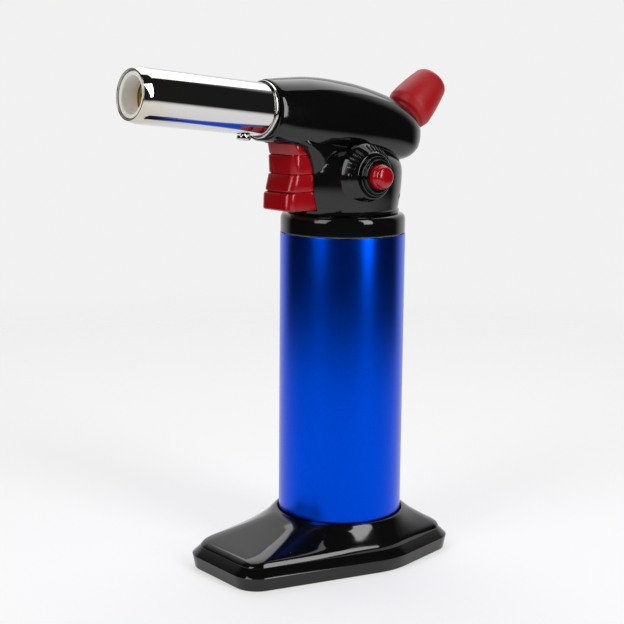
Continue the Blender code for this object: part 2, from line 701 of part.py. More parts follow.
def outlet_valve(brass, steel, plastic):
    low = TANK_TOP - OUTLET_BODY_DEPTH
    flange = CAP_TOP + PIECE_GAP
    top = flange + OUTLET_FLANGE + OUTLET_NECK
    bore = OUTLET_STEM_RADIUS + SLIDE_GAP
    chamber = OUTLET_BODY_RADIUS - 1.4 * MM
    chamber_low = low + 2.0 * MM
    chamber_top = flange - 1.0 * MM
    port = DIP_TUBE_BORE
    profile = [
        (port, low), (OUTLET_BODY_RADIUS, low), (OUTLET_BODY_RADIUS, flange),
        (OUTLET_FLANGE_RADIUS, flange),
    ]
    profile += [
        (OUTLET_FLANGE_RADIUS, flange + OUTLET_FLANGE),
        (OUTLET_NECK_RADIUS, flange + OUTLET_FLANGE),
    ]
    profile += [(OUTLET_NECK_RADIUS, top), (bore, top), (bore, chamber_top), (chamber, chamber_top)]
    profile += [(chamber, chamber_low), (port, chamber_low)]
    turned("outlet_valve_body", profile, brass, steps=20)
    collar_low = LEVER_PIVOT_Z + PIECE_GAP
    collar_high = collar_low + OUTLET_STEM_COLLAR_HEIGHT
    plug = chamber - SLIDE_GAP - 0.3 * MM
    plug_top = chamber_top - STEM_LIFT - PIECE_GAP
    plug_low = plug_top - 1.5 * MM
    stem = [(0.0, plug_low), (plug, plug_low), (plug, plug_top), (OUTLET_STEM_RADIUS, plug_top)]
    stem += [
        (OUTLET_STEM_RADIUS, collar_low), (OUTLET_STEM_COLLAR, collar_low),
        (OUTLET_STEM_COLLAR, collar_high), (0.0, collar_high),
    ]
    moved = [(radius, height - collar_low) for radius, height in stem]
    turned("outlet_stem", moved, steel, (0, 0, collar_low), steps=16)
    spring = plug_low - PIECE_GAP - (chamber_low + PIECE_GAP)
    coil(
        "outlet_spring", (0, 0, chamber_low + PIECE_GAP), (0, 0, 1), spring, 2.3 * MM, 0.35 * MM, 4,
        steel,
    )
    tip = SLEEVE_BOTTOM - PIECE_GAP - REFILL_FLANGE + REFILL_BODY_LENGTH + DIP_TUBE_CLEARANCE
    turned(
        "dip_tube", pipe(DIP_TUBE_RADIUS, DIP_TUBE_BORE, tip, low - PIECE_GAP), plastic,
        steps=SMALL_STEPS,
    )


# ---------------------------------------------------------------- head shells
def ring_about(x, height, half_width, half_height, tilt=0.0, steps=28):
    """An upright ring round the head's length, leant by tilt, and squarer below than above."""
    points = []
    for i in range(steps):
        angle = 2 * math.pi * (i + 0.5) / steps
        power = 2.0 / (2.0 if angle < math.pi or tilt else HOOD_SQUARENESS)
        side = half_width * math.copysign(abs(math.cos(angle)) ** power, math.cos(angle))
        up = half_height * math.copysign(abs(math.sin(angle)) ** power, math.sin(angle))
        points.append((x + up * math.sin(tilt), side, height + up * math.cos(tilt)))
    return points


def hood(name, inset):
    """The hood's outer body, or with an inset the hollow inside it."""
    x, z = along_burner(FLANGE_PLACE - FLANGE_THICKNESS - 0.4 * MM)
    mouth = HOOD_MOUTH_RADIUS - inset
    rings = [ring_about(x, z, mouth, mouth, BURNER_TILT)]
    if inset:
        rings = []
    for x, z, half_width, half_height in HOOD_STATIONS:
        if half_height * MM > inset + 1.0 * MM:
            rings.append(ring_about(x * MM, z * MM, half_width * MM - inset, half_height * MM - inset))
    if not inset:
        rings.append(ring_about(HOOD_REAR, HOOD_REAR_HEIGHT, 2.2 * MM, 1.2 * MM))
    return lofted(name, rings)


def round_column(name, rows, steps=36):
    """A body of upright rings, from (height, radius) rows."""
    angles = [2 * math.pi * (i + 0.5) / steps for i in range(steps)]
    return lofted(name, [[(r * math.cos(a), r * math.sin(a), z) for a in angles] for z, r in rows])


def neck():
    rows = [(NECK_BASE, NECK_LIP_RADIUS), (NECK_BASE + NECK_LIP, NECK_LIP_RADIUS)]
    return round_column(
        "neck_form",
        rows + [(NECK_BASE + height * MM, radius * MM) for height, radius in NECK_RADII],
    )


def neck_hollow():
    rows = [(NECK_BASE - MM, NECK_HOLLOW[0][1] * MM)]
    return round_column(
        "neck_hollow",
        rows + [(NECK_BASE + height * MM, radius * MM) for height, radius in NECK_HOLLOW], 24,
    )


def shell_ribs(side):
    """What stands inside a shell: the trigger's stop, and two ribs that hold the igniter."""
    near = TRIGGER_HALF_WIDTH + SLIDE_GAP
    front = -TRIGGER_BACK - TRIGGER_SHOULDER - PIECE_GAP
    spans = [
        (
            front - TRIGGER_STOP, front, near, TRIGGER_STOP_HALF, TRIGGER_BOTTOM + 2 * MM,
            TRIGGER_TOP - 6 * MM,
        )
    ]
    low, high = PIEZO_HEIGHT - 2.0 * MM, PIEZO_HEIGHT + 2.0 * MM
    spans.append((4.4 * MM, 6.6 * MM, PIEZO_HALF + PIECE_GAP, 21.0 * MM, low, high))
    if side > 0:
        spans.append((-8.4 * MM, -6.4 * MM, PIEZO_HALF + PIECE_GAP, 21.0 * MM, low, high))
    ribs = []
    for i, (back, ahead, inside, outside, bottom, top) in enumerate(spans):
        left, right = sorted((side * inside, side * outside))
        ribs.append(box(f"rib_{side}_{i}", (back, left, bottom), (ahead, right, top)))
    return ribs


def dial_boss():
    """The cone that carries the dial, moulded on the left shell."""
    profile = [(0.0, BOSS_FOOT), (BOSS_FOOT_RADIUS, BOSS_FOOT), (BOSS_FOOT_RADIUS, BOSS_SHOULDER)]
    profile += [(BOSS_FACE_RADIUS, BOSS_FACE), (0.0, BOSS_FACE)]
    return turned("dial_boss", profile, None, steps=32, **dial_place())


def screw_bosses(side):
    """Round posts from the split to the shell's wall, one for each head screw."""
    posts = []
    for i, (x, z) in enumerate(HEAD_SCREWS):
        reach = boss_reach(x, z)
        turn = -side * math.pi / 2
        posts.append(
            turned(
                f"head_boss_{side}_{i}", rod(HEAD_BOSS, 0.0, reach), None, (x, 0, z), (turn, 0, 0),
                SMALL_STEPS,
            )
        )
    return posts


def boss_reach(x, z):
    """How far a screw boss can reach from the middle plane and stay under the outside."""
    return min(head_half_width(x, z - HEAD_BOSS), head_half_width(x, z + HEAD_BOSS)) - BOSS_COVER


def head_half_width(x, z):
    """The half-width of the head's outside at a point of its middle plane."""
    best = 0.0
    heights = [(NECK_BASE + height * MM, radius * MM) for height, radius in NECK_RADII]
    for (low, radius), (high, next_radius) in zip(heights, heights[1:]):
        if low <= z <= high:
            at = radius + (next_radius - radius) * (z - low) / (high - low)
            best = max(best, math.sqrt(max(at * at - x * x, 0.0)))
    stations = [tuple(value * MM for value in station) for station in HOOD_STATIONS]
    for a, b in zip(stations, stations[1:]):
        if a[0] <= x <= b[0]:
            share = (x - a[0]) / (b[0] - a[0])
            height, half_width, half_height = (a[k] + (b[k] - a[k]) * share for k in (1, 2, 3))
            up = (z - height) / half_height
            best = max(best, half_width * math.sqrt(max(1 - up * up, 0.0)))
    return best


def head_cutters():
    """What is taken out of both shells: the ways for the burner, trigger, knob and buttons."""
    way = BURNER_RADIUS + PIECE_GAP
    cutters = [
        turned(
            "burner_way", rod(way, 0.0, 40 * MM), steps=ROUND_STEPS,
            **burner_place(BURNER_START - PIECE_GAP)
        )
    ]
    side = TRIGGER_HALF_WIDTH + SLIDE_GAP
    low = (-40 * MM, -side, TRIGGER_BOTTOM - SLIDE_GAP)
    high = (-TRIGGER_BACK + TRIGGER_TRAVEL + SLIDE_GAP, side, TRIGGER_TOP + SLIDE_GAP)
    cutters.append(box("trigger_slot", low, high))
    cutters.append(
        turned(
            "knob_seat", rod(KNOB_RADIUS + PIECE_GAP, -KNOB_FOOT - PIECE_GAP, 20 * MM), steps=32,
            **knob_place(0.0)
        )
    )
    regulator = rod(
        REGULATOR_RADIUS + PIECE_GAP, -REGULATOR_NEAR - REGULATOR_LENGTH - MM,
        -REGULATOR_NEAR + PIECE_GAP,
    )
    cutters.append(turned("regulator_seat", regulator, steps=24, **knob_place(0.0)))
    cutters.append(
        turned(
            "spindle_way", rod(SPINDLE_RADIUS + PIECE_GAP, -12 * MM, 5 * MM), steps=SMALL_STEPS,
            **knob_place(0.0)
        )
    )
    safety = rod(SAFETY_RADIUS + SLIDE_GAP, 18 * MM, 27 * MM)
    cutters.append(turned("safety_way", safety, None, (0, 0, SAFETY_Z), (0, math.pi / 2, 0), SMALL_STEPS))
    return cutters


def head_shells(black, steel):
    outside = hood("hood_form", 0.0)
    neck_form = neck()
    hollow = hood("hood_hollow", HEAD_WALL)
    below = neck_hollow()
    boss = dial_boss()
    dial_way = turned("dial_way", rod(DIAL_BORE, 0.0, 30 * MM), steps=32, **dial_place())
    cutters = head_cutters()
    for side, name in ((-1, "head_shell_left"), (1, "head_shell_right")):
        shell = outside.copy()
        shell.data = outside.data.copy()
        shell.name = name
        shell.hide_render = False
        shell.display_type = "TEXTURED"
        shell.data.materials.append(black)
        bpy.context.scene.collection.objects.link(shell)
        join(shell, neck_form)
        cut(shell, hollow, below)
        join(shell, *shell_ribs(side))
        if side < 0:
            join(shell, boss)
            cut(shell, dial_way)
        join(shell, *screw_bosses(side))
        cut(shell, *cutters)
        cut_screw_ways(shell, side)
        near, far = sorted((side * SPLIT_GAP / 2, side * 60 * MM))
        half = box(f"half_{side}", (-120 * MM, near, 100 * MM), (80 * MM, far, 220 * MM))
        combine(shell, half, "INTERSECT")
    head_screws(steel)


def screw_head_place(x, z):
    """How far from the middle plane the head screw's head sits, in the right shell."""
    return boss_reach(x, z) - HEAD_SCREW_HEAD_HEIGHT - 1.0 * MM


def cut_screw_ways(shell, side):
    for i, (x, z) in enumerate(HEAD_SCREWS):
        if side < 0:
            way = rod(HEAD_SCREW_RADIUS + PIECE_GAP, -MM, HEAD_SCREW_GRIP + PIECE_GAP)
            cutter = turned(f"screw_grip_{i}", way, None, (x, 0, z), (math.pi / 2, 0, 0), SMALL_STEPS)
        else:
            seat = screw_head_place(x, z)
            thin = HEAD_SCREW_RADIUS + PIECE_GAP
            wide = HEAD_SCREW_HEAD + 2 * PIECE_GAP
            way = [
                (0.0, -MM), (thin, -MM), (thin, seat - PIECE_GAP), (wide, seat - PIECE_GAP),
                (wide, 30 * MM), (0.0, 30 * MM),
            ]
            cutter = turned(f"screw_way_{i}", way, None, (x, 0, z), (-math.pi / 2, 0, 0), SMALL_STEPS)
        cut(shell, cutter)


def head_screws(steel):
    for i, (x, z) in enumerate(HEAD_SCREWS):
        top = screw_head_place(x, z) + HEAD_SCREW_HEAD_HEIGHT
        profile = screw_profile(
            HEAD_SCREW_RADIUS, HEAD_SCREW_HEAD, top + HEAD_SCREW_GRIP - PIECE_GAP,
            HEAD_SCREW_HEAD_HEIGHT,
        )
        turned(f"head_screw_{i + 1}", profile, steel, (x, top, z), (math.pi / 2, 0, 0), SMALL_STEPS)


# ---------------------------------------------------------------- burner
def burner(chrome, ceramic, brass, steel):
    inner = [(BURNER_BORE, BURNER_START), (BURNER_BORE, BURNER_LENGTH - MUZZLE_BEVEL - 1.0 * MM)]
    inner += [(MUZZLE_BORE, BURNER_LENGTH - MUZZLE_BEVEL), (MUZZLE_BORE, BURNER_LENGTH)]
    outer = [
        (MUZZLE_RADIUS, BURNER_LENGTH), (BURNER_RADIUS, BURNER_LENGTH - MUZZLE_BEVEL),
        (BURNER_RADIUS, BURNER_START),
    ]
    tube = turned("burner_tube", inner + outer, chrome, **burner_place(0.0))
    x, z = along_burner(TUBE_SCREW_PLACE)
    down = (0, math.pi + BURNER_TILT, 0)
    cut(
        tube,
        turned(
            "tube_screw_way", rod(TUBE_SCREW_RADIUS + PIECE_GAP, 5 * MM, 15 * MM), None, (x, 0, z),
            down, SMALL_STEPS,
        ),
    )
    head = BURNER_RADIUS + PIECE_GAP
    tip = BURNER_BORE - 2.0 * MM
    crown = head + TUBE_SCREW_HEAD_HEIGHT
    profile = [(0.0, tip), (TUBE_SCREW_RADIUS, tip), (TUBE_SCREW_RADIUS, head), (TUBE_SCREW_HEAD, head)]
    profile += [
        (TUBE_SCREW_HEAD, head + 0.5 * TUBE_SCREW_HEAD_HEIGHT), (0.6 * TUBE_SCREW_HEAD, crown),
        (0.0, crown),
    ]
    turned("tube_screw", profile, chrome, (x, 0, z), down, 20)
    place = FLANGE_PLACE - FLANGE_THICKNESS
    ring = BURNER_RADIUS + 0.12 * MM
    turned("tube_flange", pipe(FLANGE_RADIUS, ring, place, FLANGE_PLACE), chrome, **burner_place(0.0))
    liner_front = BURNER_LENGTH - LINER_FACE_IN
    wide = BURNER_BORE - PIECE_GAP
    narrow = MUZZLE_BORE - PIECE_GAP
    step = BURNER_LENGTH - MUZZLE_BEVEL - 1.0 * MM - PIECE_GAP
    profile = [
        (LINER_BORE, LINER_START), (wide, LINER_START), (wide, step), (narrow, step + 0.7 * MM),
        (narrow, liner_front),
    ]
    profile += [(LINER_BORE, liner_front)]
    turned("ceramic_liner", profile, ceramic, steps=INNER_STEPS, **burner_place(0.0))
    burner_disc(brass)
    mixer(steel, brass)


def burner_disc(brass):
    low = LINER_START - PIECE_GAP - BURNER_DISC_THICKNESS
    high = LINER_START - PIECE_GAP
    disc = turned("burner_disc", rod(BURNER_DISC_RADIUS, low, high), brass, steps=32, **burner_place(0.0))
    for i in range(BURNER_HOLES):
        angle = 2 * math.pi * i / (BURNER_HOLES - 1)
        spread = BURNER_HOLE_CIRCLE if i < BURNER_HOLES - 1 else 0.0
        x, z = along_burner(0.0, spread * math.sin(angle))
        hole = turned(f"disc_hole_{i}", rod(BURNER_HOLE_RADIUS, low - MM, high + MM), None, steps=8)
        hole.location = (x, spread * math.cos(angle), z)
        hole.rotation_euler = (0, BURNER_TILT - math.pi / 2, 0)
        cut(disc, hole)
    x, z = along_burner(0.0, ELECTRODE_OFFSET)
    slot = turned("electrode_way", rod(INSULATOR_RADIUS + PIECE_GAP, low - MM, high + MM), None, steps=12)
    slot.location = (x, 0, z)
    slot.rotation_euler = (0, BURNER_TILT - math.pi / 2, 0)
    cut(disc, slot)


def mixer(steel, brass):
    end = LINER_START - BURNER_DISC_THICKNESS - 2 * PIECE_GAP
    flare = end - MIXER_FLARE
    bore = MIXER_RADIUS - MIXER_WALL
    wide = BURNER_DISC_RADIUS - 4.0 * MM
    profile = [
        (MIXER_RADIUS, MIXER_START), (MIXER_RADIUS, flare), (wide + MIXER_WALL, end), (wide, end),
        (bore, flare), (bore, MIXER_START),
    ]
    tube = turned("mixer_tube", profile, steel, steps=24, **burner_place(0.0))
    for i in range(AIR_HOLES // 2):
        hole = turned(f"air_hole_{i}", rod(AIR_HOLE_RADIUS, -10 * MM, 10 * MM), None, steps=10)
        x, z = along_burner(MIXER_START + 5.0 * MM)
        hole.location = (x, 0, z)
        hole.rotation_euler = (i * math.pi / 2, BURNER_TILT, 0)
        cut(tube, hole)
    tip_end = MIXER_START - PIECE_GAP
    tip_low = tip_end - JET_TIP
    low = tip_low - JET_LENGTH
    bore = 0.5 * MM
    profile = [
        (bore, low), (JET_RADIUS, low), (JET_RADIUS, tip_low), (JET_TIP_RADIUS, tip_low),
        (JET_TIP_RADIUS, tip_end), (bore, tip_end),
    ]
    turned("jet", profile, brass, steps=20, **burner_place(0.0))


def igniter_lead(steel, ceramic, rubber):
    """The electrode, its insulator and the wire from the igniter."""
    tip = rod(ELECTRODE_RADIUS, BURNER_START + 6 * MM, LINER_START - PIECE_GAP - 0.5 * MM)
    x, z = along_burner(0.0, ELECTRODE_OFFSET)
    turned("electrode", tip, steel, (x, 0, z), (0, BURNER_TILT - math.pi / 2, 0), 12)
    low = BURNER_START + 10 * MM
    high = LINER_START - BURNER_DISC_THICKNESS - 3.0 * MM
    sleeve = pipe(INSULATOR_RADIUS, ELECTRODE_RADIUS + 0.15 * MM, low, high)
    turned("electrode_insulator", sleeve, ceramic, (x, 0, z), (0, BURNER_TILT - math.pi / 2, 0), 12)
    x, z = along_burner(BURNER_START + 6 * MM - PIECE_GAP, ELECTRODE_OFFSET)
    start = (PIEZO_REAR + 2 * PIECE_GAP, 0, PIEZO_HEIGHT)
    route = [start, (PIEZO_REAR + 2.2 * MM, 0.5 * MM, PIEZO_HEIGHT), (10.2 * MM, 5.5 * MM, 160.0 * MM)]
    route += [
        (6.5 * MM, 6.5 * MM, 164.6 * MM), (1.0 * MM, 6.6 * MM, 170.0 * MM),
        (-9.0 * MM, 7.4 * MM, 179.0 * MM),
    ]
    route += [(-17.0 * MM, 3.4 * MM, 184.6 * MM), (x + 2.0 * MM, 0, z - 0.2 * MM), (x, 0, z)]
    hose("ignition_wire", route, WIRE_RADIUS, rubber)


# ---------------------------------------------------------------- trigger, igniter and valve lever
def trigger(red):
    rings = []
    for height, front in TRIGGER_FRONT:
        z = TRIGGER_BOTTOM + height * MM
        x = -front * MM
        side = TRIGGER_HALF_WIDTH
        corner = 1.6 * MM
        back = -TRIGGER_BACK
        outline = [
            (x + corner, -side), (x + 0.3 * corner, -side + 0.3 * corner), (x, -side + corner),
            (x, side - corner),
        ]
        outline += [
            (x + 0.3 * corner, side - 0.3 * corner), (x + corner, side), (back, side),
            (back, -side),
        ]
        rings.append([(px, py, z) for px, py in outline])
    body = lofted("trigger", rings, red)
    shoulder = TRIGGER_SHOULDER_HALF
    low = (-TRIGGER_BACK - TRIGGER_SHOULDER, -shoulder, TRIGGER_BOTTOM + 2 * MM)
    high = (-TRIGGER_BACK, shoulder, TRIGGER_TOP - 6.5 * MM)
    join(body, box("trigger_shoulder", low, high))
    front = -min(value for _, value in TRIGGER_FRONT) * MM + TRIGGER_WALL
    pocket_side = TRIGGER_POCKET_HALF
    low = (front, -pocket_side, TRIGGER_BOTTOM + TRIGGER_WALL + 1.0 * MM)
    high = (MM, pocket_side, TRIGGER_TOP - TRIGGER_WALL)
    cut(body, box("trigger_pocket", low, high))
    tip = LEVER_PIVOT_X - LEVER_ARM_HALF - PIECE_GAP
    low = (-TRIGGER_BACK - 1.5 * MM, TONGUE_NEAR, TONGUE_LOW)
    high = (tip, TONGUE_FAR, TONGUE_LOW + TONGUE_HEIGHT)
    join(body, box("trigger_tongue", low, high))
    return front


def igniter(pocket_front, plastic, steel, white):
    height = PIEZO_HEIGHT
    low = (-PIEZO_FRONT, -PIEZO_HALF, height - PIEZO_HALF)
    high = (PIEZO_REAR, PIEZO_HALF, height + PIEZO_HALF)
    body = box("piezo_body", low, high, plastic)
    way = PLUNGER_HALF + SLIDE_GAP
    end = -PIEZO_FRONT + PLUNGER_INSIDE + TRIGGER_TRAVEL + 0.5 * MM
    cut(body, box("plunger_way", (-PIEZO_FRONT - MM, -way, height - way), (end, way, height + way)))
    recess = rod(OUTLET_STEM_COLLAR + SLIDE_GAP, -PIEZO_HALF, STEM_RECESS)
    cut(body, turned("stem_recess", recess, None, (0, 0, height - PIEZO_HALF), steps=SMALL_STEPS))
    front = pocket_front + PIECE_GAP
    low = (front, -PLUNGER_HALF, height - PLUNGER_HALF)
    high = (-PIEZO_FRONT + PLUNGER_INSIDE, PLUNGER_HALF, height + PLUNGER_HALF)
    box("piezo_plunger", low, high, white)
    length = -PIEZO_FRONT - PIECE_GAP - front
    coil("trigger_spring", (front, 0, height), (1, 0, 0), length, 4.9 * MM, 0.45 * MM, 5, steel)


def valve_lever(steel):
    """A bell crank on a pin: the trigger's tongue pushes its upright arm and its fork lifts the outlet stem."""
    px, pz = LEVER_PIVOT_X, LEVER_PIVOT_Z
    left = BRACKET_LEFT + BRACKET_SHEET + PIECE_GAP
    right = BRACKET_RIGHT - BRACKET_SHEET - PIECE_GAP
    lever = turned(
        "valve_lever", rod(LEVER_HUB, -right, -left), steel, (px, 0, pz), (math.pi / 2, 0, 0), 20,
    )
    gap = OUTLET_STEM_RADIUS + SLIDE_GAP
    for i, side in enumerate((-1, 1)):
        near, far = sorted((side * gap, side * (gap + 1.6 * MM)))
        low = (px, near, pz - LEVER_PRONG)
        high = (px + LEVER_NOSE, far, pz)
        join(lever, box(f"lever_prong_{i}", low, high))
    low = (px - LEVER_ARM_HALF, TONGUE_NEAR, TONGUE_LOW - 0.2 * MM)
    high = (px + LEVER_ARM_HALF, TONGUE_FAR, pz)
    join(lever, box("lever_arm", low, high))
    hole = turned(
        "lever_pin_way", rod(LEVER_PIN_RADIUS + SLIDE_GAP - 0.2 * MM, -20 * MM, 20 * MM), None,
        (px, 0, pz), (math.pi / 2, 0, 0), 20,
    )
    cut(lever, hole)
    pin = rod(LEVER_PIN_RADIUS, -BRACKET_RIGHT - 0.5 * MM, -BRACKET_LEFT + 0.5 * MM)
    turned("lever_pin", pin, steel, (px, 0, pz), (math.pi / 2, 0, 0), 20)
    lever_bracket(steel)


def lever_bracket(steel):
    px, pz = LEVER_PIVOT_X, LEVER_PIVOT_Z
    base = CAP_TOP + PIECE_GAP + OUTLET_FLANGE + PIECE_GAP
    low = (-BRACKET_REACH, BRACKET_LEFT, base)
    high = (BRACKET_REACH, BRACKET_RIGHT, base + BRACKET_SHEET)
    bracket = box("lever_bracket", low, high, steel)
    top = pz + LEVER_HUB + 0.2 * MM
    cheek = 3.4 * MM
    left = box(
        "bracket_left", (px - cheek, BRACKET_LEFT, base),
        (px + cheek, BRACKET_LEFT + BRACKET_SHEET, top),
    )
    right = box(
        "bracket_right", (px - cheek, BRACKET_RIGHT - BRACKET_SHEET, base),
        (px + cheek, BRACKET_RIGHT, top),
    )
    join(bracket, left, right)
    cut(
        bracket,
        turned(
            "bracket_valve_way", rod(OUTLET_NECK_RADIUS + PIECE_GAP, base - MM, base + 5 * MM),
            steps=24,
        ),
    )
    pin_way = rod(LEVER_PIN_RADIUS + 0.1 * MM, -20 * MM, 20 * MM)
    cut(bracket, turned("bracket_pin_way", pin_way, None, (px, 0, pz), (math.pi / 2, 0, 0), 20))


# ---------------------------------------------------------------- gas knob, regulator and gas lines
def gas_control(red, brass, steel):
    bore = SPINDLE_RADIUS + 0.1 * MM
    deep = SPINDLE_IN_KNOB + PIECE_GAP
    knob = turned("gas_knob", knob_profile_solid(), red, steps=INNER_STEPS, **knob_place(0.0))
    cut(knob, turned("knob_bore", rod(bore, -KNOB_FOOT - MM, deep), steps=SMALL_STEPS, **knob_place(0.0)))
    low = -REGULATOR_NEAR - SPINDLE_IN_REGULATOR
    needle = rod(SPINDLE_RADIUS, low, SPINDLE_IN_KNOB)
    turned("gas_spindle", needle, steel, steps=SMALL_STEPS, **knob_place(0.0))
    start = -REGULATOR_NEAR - REGULATOR_LENGTH
    body = turned(
        "regulator_body", rod(REGULATOR_RADIUS, start, -REGULATOR_NEAR), brass, steps=20,
        **knob_place(0.0)
    )
    way = rod(SPINDLE_RADIUS + SLIDE_GAP - 0.2 * MM, low - 1.0 * MM, MM)
    cut(body, turned("regulator_bore", way, steps=SMALL_STEPS, **knob_place(0.0)))
    return start


def knob_profile_solid():
    return [(0.0, -KNOB_FOOT)] + knob_profile()


def gas_lines(regulator_start, rubber, brass):
    """The hose from the outlet valve's neck to the regulator, and the pipe from there to the jet."""
    end = along_knob(regulator_start - 2 * PIECE_GAP)
    near = along_knob(regulator_start - 3.0 * MM)
    low = CAP_TOP + 2 * PIECE_GAP + OUTLET_FLANGE + BRACKET_SHEET + 2.1 * MM
    route = [
        (OUTLET_NECK_RADIUS + 2 * PIECE_GAP, 0.0, low), (6.5 * MM, 0.0, low + 0.2 * MM),
        (7.6 * MM, -5.5 * MM, 145.0 * MM),
    ]
    route += [
        (8.7 * MM, -7.4 * MM, 151.4 * MM), (near[0], -2.0 * MM, near[1]),
        (end[0], -2.0 * MM, end[1]),
    ]
    hose("gas_hose", route, HOSE_RADIUS, rubber)
    lean = (math.cos(KNOB_TILT), math.sin(KNOB_TILT))
    top_x, top_z = along_knob(regulator_start + 0.4 * REGULATOR_LENGTH)
    out = REGULATOR_RADIUS + 2 * PIECE_GAP + 0.1 * MM
    start = (top_x - out * lean[1], 0.0, top_z + out * lean[0])
    rise = (start[0] - 2.0 * MM * lean[1], 0.0, start[2] + 2.0 * MM * lean[0])
    jet_end = MIXER_START - PIECE_GAP - JET_TIP - JET_LENGTH - 2 * PIECE_GAP
    jx, jz = along_burner(jet_end)
    bx, bz = along_burner(jet_end - 3.0 * MM)
    route = [start, rise, (bx, 0.0, bz), (jx, 0.0, jz)]
    hose("gas_pipe", route, PIPE_RADIUS, brass)


# ---------------------------------------------------------------- dial and buttons
def dial(black, red, steel):
    face = BOSS_FACE + PIECE_GAP
    shaft = DIAL_BORE - SLIDE_GAP
    flange_top = BOSS_FOOT - PIECE_GAP
    flange_low = flange_top - DIAL_FLANGE
    bore = LOCK_RADIUS + SLIDE_GAP
    top = face + DIAL_RIM + DIAL_STEP
    floor = flange_low + DIAL_FLOOR
    profile = [
        (0.0, flange_low), (DIAL_FLANGE_RADIUS, flange_low), (DIAL_FLANGE_RADIUS, flange_top),
        (shaft, flange_top),
    ]
    profile += [
        (shaft, face), (DIAL_RADIUS, face), (DIAL_RADIUS, face + DIAL_RIM),
        (DIAL_STEP_RADIUS, face + DIAL_RIM),
    ]
    profile += [(DIAL_STEP_RADIUS, top), (bore, top), (bore, floor), (0.0, floor)]
    turned("air_dial", profile, black, steps=INNER_STEPS, **dial_place())
    tip = top + LOCK_OUT
    low = tip - LOCK_LENGTH
    round_off = 0.62 * LOCK_RADIUS
    dome = [(0.0, tip)]
    for i in range(1, 5):
        angle = math.radians(22.5 * i)
        dome.append((LOCK_RADIUS * math.sin(angle), tip - round_off + round_off * math.cos(angle)))
    profile = [(0.0, low), (LOCK_RADIUS, low)] + dome[::-1]
    turned("lock_button", profile, red, steps=20, **dial_place())
    spring_low = floor + PIECE_GAP
    start = (DIAL_X, -spring_low, DIAL_Z)
    coil("lock_spring", start, (0, -1, 0), low - PIECE_GAP - spring_low, 3.2 * MM, 0.35 * MM, 3, steel)


def safety_button(red, steel):
    outer = neck_radius(SAFETY_Z)
    inner = outer - HEAD_WALL
    tip = outer + SAFETY_OUT
    flange_top = inner - PIECE_GAP - 0.4 * MM
    flange_low = flange_top - SAFETY_FLANGE
    dome = [(SAFETY_RADIUS, tip - 0.9 * MM), (0.8 * SAFETY_RADIUS, tip - 0.3 * MM), (0.0, tip)]
    profile = [
        (0.0, flange_low), (SAFETY_FLANGE_RADIUS, flange_low), (SAFETY_FLANGE_RADIUS, flange_top),
        (SAFETY_RADIUS, flange_top),
    ] + dome
    turned("safety_button", profile, red, (0, 0, SAFETY_Z), (0, math.pi / 2, 0), 20)
    start = HEAD_SCREWS[0][0] + HEAD_BOSS + PIECE_GAP + 0.2 * MM
    length = flange_low - PIECE_GAP - start
    coil("safety_spring", (start, 0, SAFETY_Z), (1, 0, 0), length, 2.1 * MM, 0.3 * MM, 3, steel)


def neck_radius(z):
    """The neck's outside radius at a height."""
    rows = [(NECK_BASE + height * MM, radius * MM) for height, radius in NECK_RADII]
    for (low, radius), (high, next_radius) in zip(rows, rows[1:]):
        if low <= z <= high:
            return radius + (next_radius - radius) * (z - low) / (high - low)
    return rows[0][1]


def main():
    black = material("gloss_black_plastic", (0.008, 0.008, 0.009), 0.12)
    red = material("red_plastic", (0.45, 0.005, 0.012), 0.3)
    blue = material("blue_anodised", (0.0, 0.05, 0.55), 0.32, 0.8)
    chrome = material("chrome", (0.85, 0.85, 0.86), 0.05, 1.0)
    steel = material("steel", (0.6, 0.6, 0.62), 0.3, 1.0)
    brass = material("brass", (0.72, 0.5, 0.2), 0.3, 1.0)
    ceramic = material("white_ceramic", (0.85, 0.83, 0.8), 0.6)
    nylon = material("natural_nylon", (0.75, 0.73, 0.68), 0.5)
    rubber = material("black_rubber", (0.02, 0.02, 0.02), 0.8)
    stand_shell(black)
    stand_plate(rubber, steel)
    tank(blue, nylon, black, rubber)
    refill_valve(brass, steel, rubber)
    outlet_valve(brass, steel, nylon)
    head_shells(black, steel)
    burner(chrome, ceramic, brass, steel)
    igniter_lead(steel, ceramic, rubber)
    pocket_front = trigger(red)
    igniter(pocket_front, black, steel, nylon)
    valve_lever(steel)
    regulator_start = gas_control(red, brass, steel)
    gas_lines(regulator_start, rubber, brass)
    dial(black, red, steel)
    safety_button(red, steel)


clear_scene()
FRAME = bpy.data.objects.new("torch_frame", None)
bpy.context.scene.collection.objects.link(FRAME)
FRAME.location = (FRAME_X, 0, 0)
main()
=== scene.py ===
"""Looks of a table-top gas torch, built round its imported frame.

Shapes are written in millimetres about the tank's axis, with the bench at Z = 0, and are moved into the
frame's metres as each piece is finished. The burner points along -X and the dial is on the -Y side.
"""

import json
import math

import bmesh
import bpy
from bpy.props import FloatProperty, FloatVectorProperty, IntProperty, PointerProperty
from mathutils import Matrix, Vector


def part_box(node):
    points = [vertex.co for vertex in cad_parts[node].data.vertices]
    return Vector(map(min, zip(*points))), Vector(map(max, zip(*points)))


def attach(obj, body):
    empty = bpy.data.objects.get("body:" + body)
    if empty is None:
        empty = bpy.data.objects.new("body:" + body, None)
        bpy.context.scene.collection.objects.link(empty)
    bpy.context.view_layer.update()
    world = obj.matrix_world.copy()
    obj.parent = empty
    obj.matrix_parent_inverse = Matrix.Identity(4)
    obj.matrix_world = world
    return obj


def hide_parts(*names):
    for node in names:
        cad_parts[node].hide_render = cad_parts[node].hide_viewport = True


bl_info = {
    "name": "Table torch",
    "version": (1, 0, 0),
    "blender": (4, 5, 0),
    "location": "3D View > Sidebar > Torch",
    "description": "Builds the looks of a table-top gas torch round its frame",
    "category": "Add Mesh",
}

